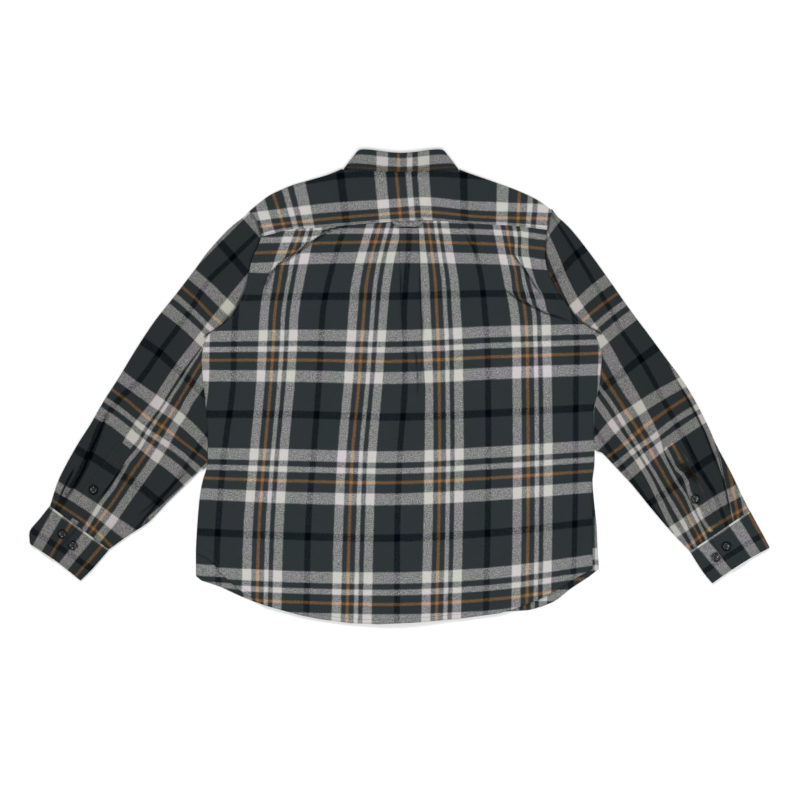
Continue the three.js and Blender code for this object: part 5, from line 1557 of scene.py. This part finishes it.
def flannel_material(name, tone_scale=(1.0, 1.0, 1.0)):
    n = Nodes(name)
    cloth = n.add("ShaderNodeUVMap", uv_map="cloth").outputs[0]
    split = n.add("ShaderNodeSeparateXYZ")
    n.link(cloth, split.inputs[0])
    u, v = split.outputs[0], split.outputs[1]
    # A small seeded wander of the stripes
    sway_u = n.math("MULTIPLY", n.math("SUBTRACT", n.noise(cloth, 0.22, 3, stretch=(1, 0.5, 1)), 0.5), 1.1)
    sway_v = n.math("MULTIPLY", n.math("SUBTRACT", n.noise(cloth, 0.19, 3, stretch=(0.5, 1, 1)), 0.5), 1.1)
    warp = stripe_ramp(n, n.math("ADD", u, sway_u), WARP_REPEAT, WARP_STRIPES)
    weft = stripe_ramp(n, n.math("ADD", v, sway_v), WEFT_REPEAT, WEFT_STRIPES)
    twill = n.math("SINE", n.math("MULTIPLY", n.math("ADD", u, v), 2 * math.pi * UNIT / TWILL_PITCH))
    nap = n.noise(cloth, 0.85, 3.0, 0.65)
    warp_slub = n.noise(cloth, 1.0, 2.0, 0.6, stretch=(2.2, 0.16, 1))
    weft_slub = n.noise(cloth, 1.0, 2.0, 0.6, stretch=(0.16, 2.2, 1))
    # How much of the crosswise thread shows, thread by thread
    share = n.plus(0.5, twill, 0.1)
    share = n.plus(share, n.math("SUBTRACT", nap, 0.5), 1.5)
    share = n.clamp(n.plus(share, n.math("SUBTRACT", warp_slub, weft_slub), 0.6))
    colour = n.mix(share, warp, weft)
    patch = n.clamp(n.math("ADD", n.math("MULTIPLY", n.noise(cloth, 0.035, 2.0), 2.2), -0.6))
    tint = n.mix(patch, (0.965, 1.0, 0.96, 1.0), (1.025, 0.99, 1.045, 1.0))
    # The whole check times a given scale: the sleeves and the collar use darker copies of it
    tint = n.mix(1.0, tint, (*tone_scale, 1.0), "MULTIPLY")
    colour = n.mix(1.0, colour, tint, "MULTIPLY")
    # Flecks of the brushed nap, and the crease layer, which mixes the colour towards near black: painted
    # shade at the creases' feet, round the buttons and along the armhole seams, and the collar's darkened
    # orange stripe
    fleck = n.noise(cloth, 0.8, 2.5, 0.7)
    grain = n.plus(0.875, fleck, 0.25)
    gamma = n.add("ShaderNodeGamma")
    gamma.inputs["Gamma"].default_value = 2.2
    shade = n.add("ShaderNodeCombineColor")
    for socket in shade.inputs[:3]:
        n.link(grain, socket)
    # Painted shade from the crease layer
    crease = n.add("ShaderNodeSeparateXYZ")
    n.link(n.add("ShaderNodeUVMap", uv_map="crease").outputs[0], crease.inputs[0])
    toned = n.mix(1.0, colour, shade.outputs[0], "MULTIPLY")
    n.link(n.mix(crease.outputs[0], toned, (0.03, 0.035, 0.04, 1.0)), gamma.inputs["Color"])
    height = n.plus(n.math("MULTIPLY", twill, 0.25), nap, 1.4)
    height = n.plus(height, n.noise(cloth, 0.3, 3.0), 1.6)
    n.bump(height, 0.5, 0.0004)
    rough = n.plus(0.84, fleck, 0.14)
    n.set(Base_Color=gamma.outputs[0], Roughness=rough, Sheen_Weight=0.0, Specular_IOR_Level=0.01)
    return n.material


def thread_material(name, colour):
    n = Nodes(name)
    place = n.object_place()
    fibre = n.noise(place, 2500.0, 2.0)
    base = [(c / 255) ** 2.2 for c in colour]
    dark = [c * 0.6 for c in base] + [1.0]
    n.bump(fibre, 0.4, 0.0001)
    n.set(Base_Color=n.mix(fibre, dark, base + [1.0]), Roughness=0.75, Sheen_Weight=0.1)
    return n.material


def plastic_material(name):
    n = Nodes(name)
    place = n.object_place()
    cloud = n.noise(place, 240.0, 3.0)
    resin = n.mix(cloud, (0.002, 0.0022, 0.0025, 1), (0.006, 0.0065, 0.007, 1))
    n.set(Base_Color=resin, Roughness=n.plus(0.13, cloud, 0.1), Specular_IOR_Level=0.6)
    return n.material


def floor_material(name):
    n = Nodes(name)
    place = n.object_place()
    away = n.add("ShaderNodeVectorMath", operation="LENGTH")
    n.link(place, away.inputs[0])
    # Painted brightening: the paper grows lighter away from the middle, to make up for the lamps' falloff
    # towards the corners
    spread = n.math("SUBTRACT", n.math("MULTIPLY", away.outputs["Value"], 3), 1.6)
    paper = n.mix(n.clamp(spread), (0.83, 0.83, 0.83, 1), (0.96, 0.96, 0.96, 1))
    n.set(Base_Color=paper, Roughness=0.9, Specular_IOR_Level=0.1)
    return n.material


# Floor, light and camera


FLOOR_HALF = 4.0
FLOOR_DROP = 0.0004
WORLD_LIGHT = 0.45
# Name, place, diameter and power of each lamp
LAMPS = [("key", (-1.0, 4.5, 4.3), 1.7, 205), ("fill", (0.1, -0.5, 1.9), 1.0, 21.5)]
CAMERA_DISTANCE = 3.6
SENSOR = 36
PHOTO_SIDE = 800


def make_stage():
    corners = [(x * FLOOR_HALF, y * FLOOR_HALF, -FLOOR_DROP) for x, y in ((-1, -1), (1, -1), (1, 1), (-1, 1))]
    floor = add_object("floor", raw_mesh("floor", corners, [(0, 1, 2, 3)]))
    floor.data.materials.append(floor_material("floor_paper"))
    world = bpy.data.worlds.new("studio")
    bpy.context.scene.world = world
    world.use_nodes = True
    background = world.node_tree.nodes["Background"]
    background.inputs["Color"].default_value = (1, 1, 1, 1)
    background.inputs["Strength"].default_value = WORLD_LIGHT
    for name, place, size, power in LAMPS:
        light = bpy.data.lights.new(name, "AREA")
        light.shape = "DISK"
        light.size = size
        light.energy = power
        lamp = add_object(name, light)
        x, y, z = place
        lamp.location = place
        lamp.rotation_euler = (math.atan2(math.hypot(x, y), z), 0, math.atan2(y, x) + math.pi / 2)


def make_camera():
    camera = bpy.data.cameras.new("camera")
    camera.sensor_width = SENSOR
    camera.lens = SENSOR * CAMERA_DISTANCE / (PHOTO_SIDE * UNIT / 1000)
    holder = add_object("camera", camera)
    x, y = (PHOTO_SIDE / 2 - CENTRE_X) * UNIT / 1000, (CENTRE_Y - PHOTO_SIDE / 2) * UNIT / 1000
    holder.location = (x, y, CAMERA_DISTANCE + 0.004)
    bpy.context.scene.camera = holder
    bpy.context.scene.view_settings.view_transform = "Standard"


def cloth_area(piece):
    """Flat area of a shell: half of its faces, in square metres."""
    mesh = piece.data
    areas = np.empty(len(mesh.polygons))
    mesh.polygons.foreach_get("area", areas)
    return float(areas.sum() / 2)


def declare(piece, width, length):
    """Works out the area of a sheet's cut from its shell, no more than the rectangle and no less than 0.3 of
    it; an area smaller than the rectangle is the shaped cut's own. Nothing is done with the area.
    """
    area = min(cloth_area(piece), width * length)
    area = max(area, 0.3 * width * length)


def main():
    make_camera()
    make_stage()
    flannel = flannel_material("flannel_check")
    sleeve_flannel = flannel_material("flannel_check_sleeves", (0.92, 0.91, 0.9))
    collar_flannel = flannel_material("flannel_check_collar", (0.94, 0.94, 0.94))
    thread = thread_material("sewing_thread", (46, 50, 52))
    dark_thread = thread_material("button_thread", (36, 36, 38))
    plastic = plastic_material("button_resin")
    back, back_plan = make_back(flannel)
    yoke, yoke_plan = make_yoke(flannel)
    fronts = [make_front(-1, "front_left", flannel), make_front(1, "front_right", flannel)]
    placket, band = make_bands(flannel)
    declare(back, 0.69, 0.67)
    declare(yoke, 0.5, 0.18)
    for front in fronts:
        declare(front, 0.32, 0.74)
    declare(placket, 0.035, 0.66)
    declare(band, 0.035, 0.66)
    for side, word in ((-1, "left"), (1, "right")):
        sleeve, top = make_sleeve(side, "sleeve_" + word, sleeve_flannel)
        gauntlet = make_gauntlet(side, "gauntlet_" + word, top, sleeve_flannel)
        cuff = make_cuff(side, "cuff_" + word, flannel if side > 0 else sleeve_flannel)
        declare(sleeve, 0.5, 0.6)
        declare(gauntlet, 0.028, 0.147)
        declare(cuff, 0.27, 0.07)
    fall = make_fall(collar_flannel)
    stand = make_stand(collar_flannel)
    declare(fall, 0.44, 0.09)
    declare(stand, 0.46, 0.03)
    loop = make_loop(yoke_plan, back_plan, flannel)
    declare(loop, 0.014, 0.06)
    for edge in ("left", "right"):
        stitch_line(inset_path(back_plan, edge, 3.6, 0.004, 0.3, 260))
    make_stitches("seam_stitches", thread, "flannel")
    make_buttons(plastic, dark_thread)


main()
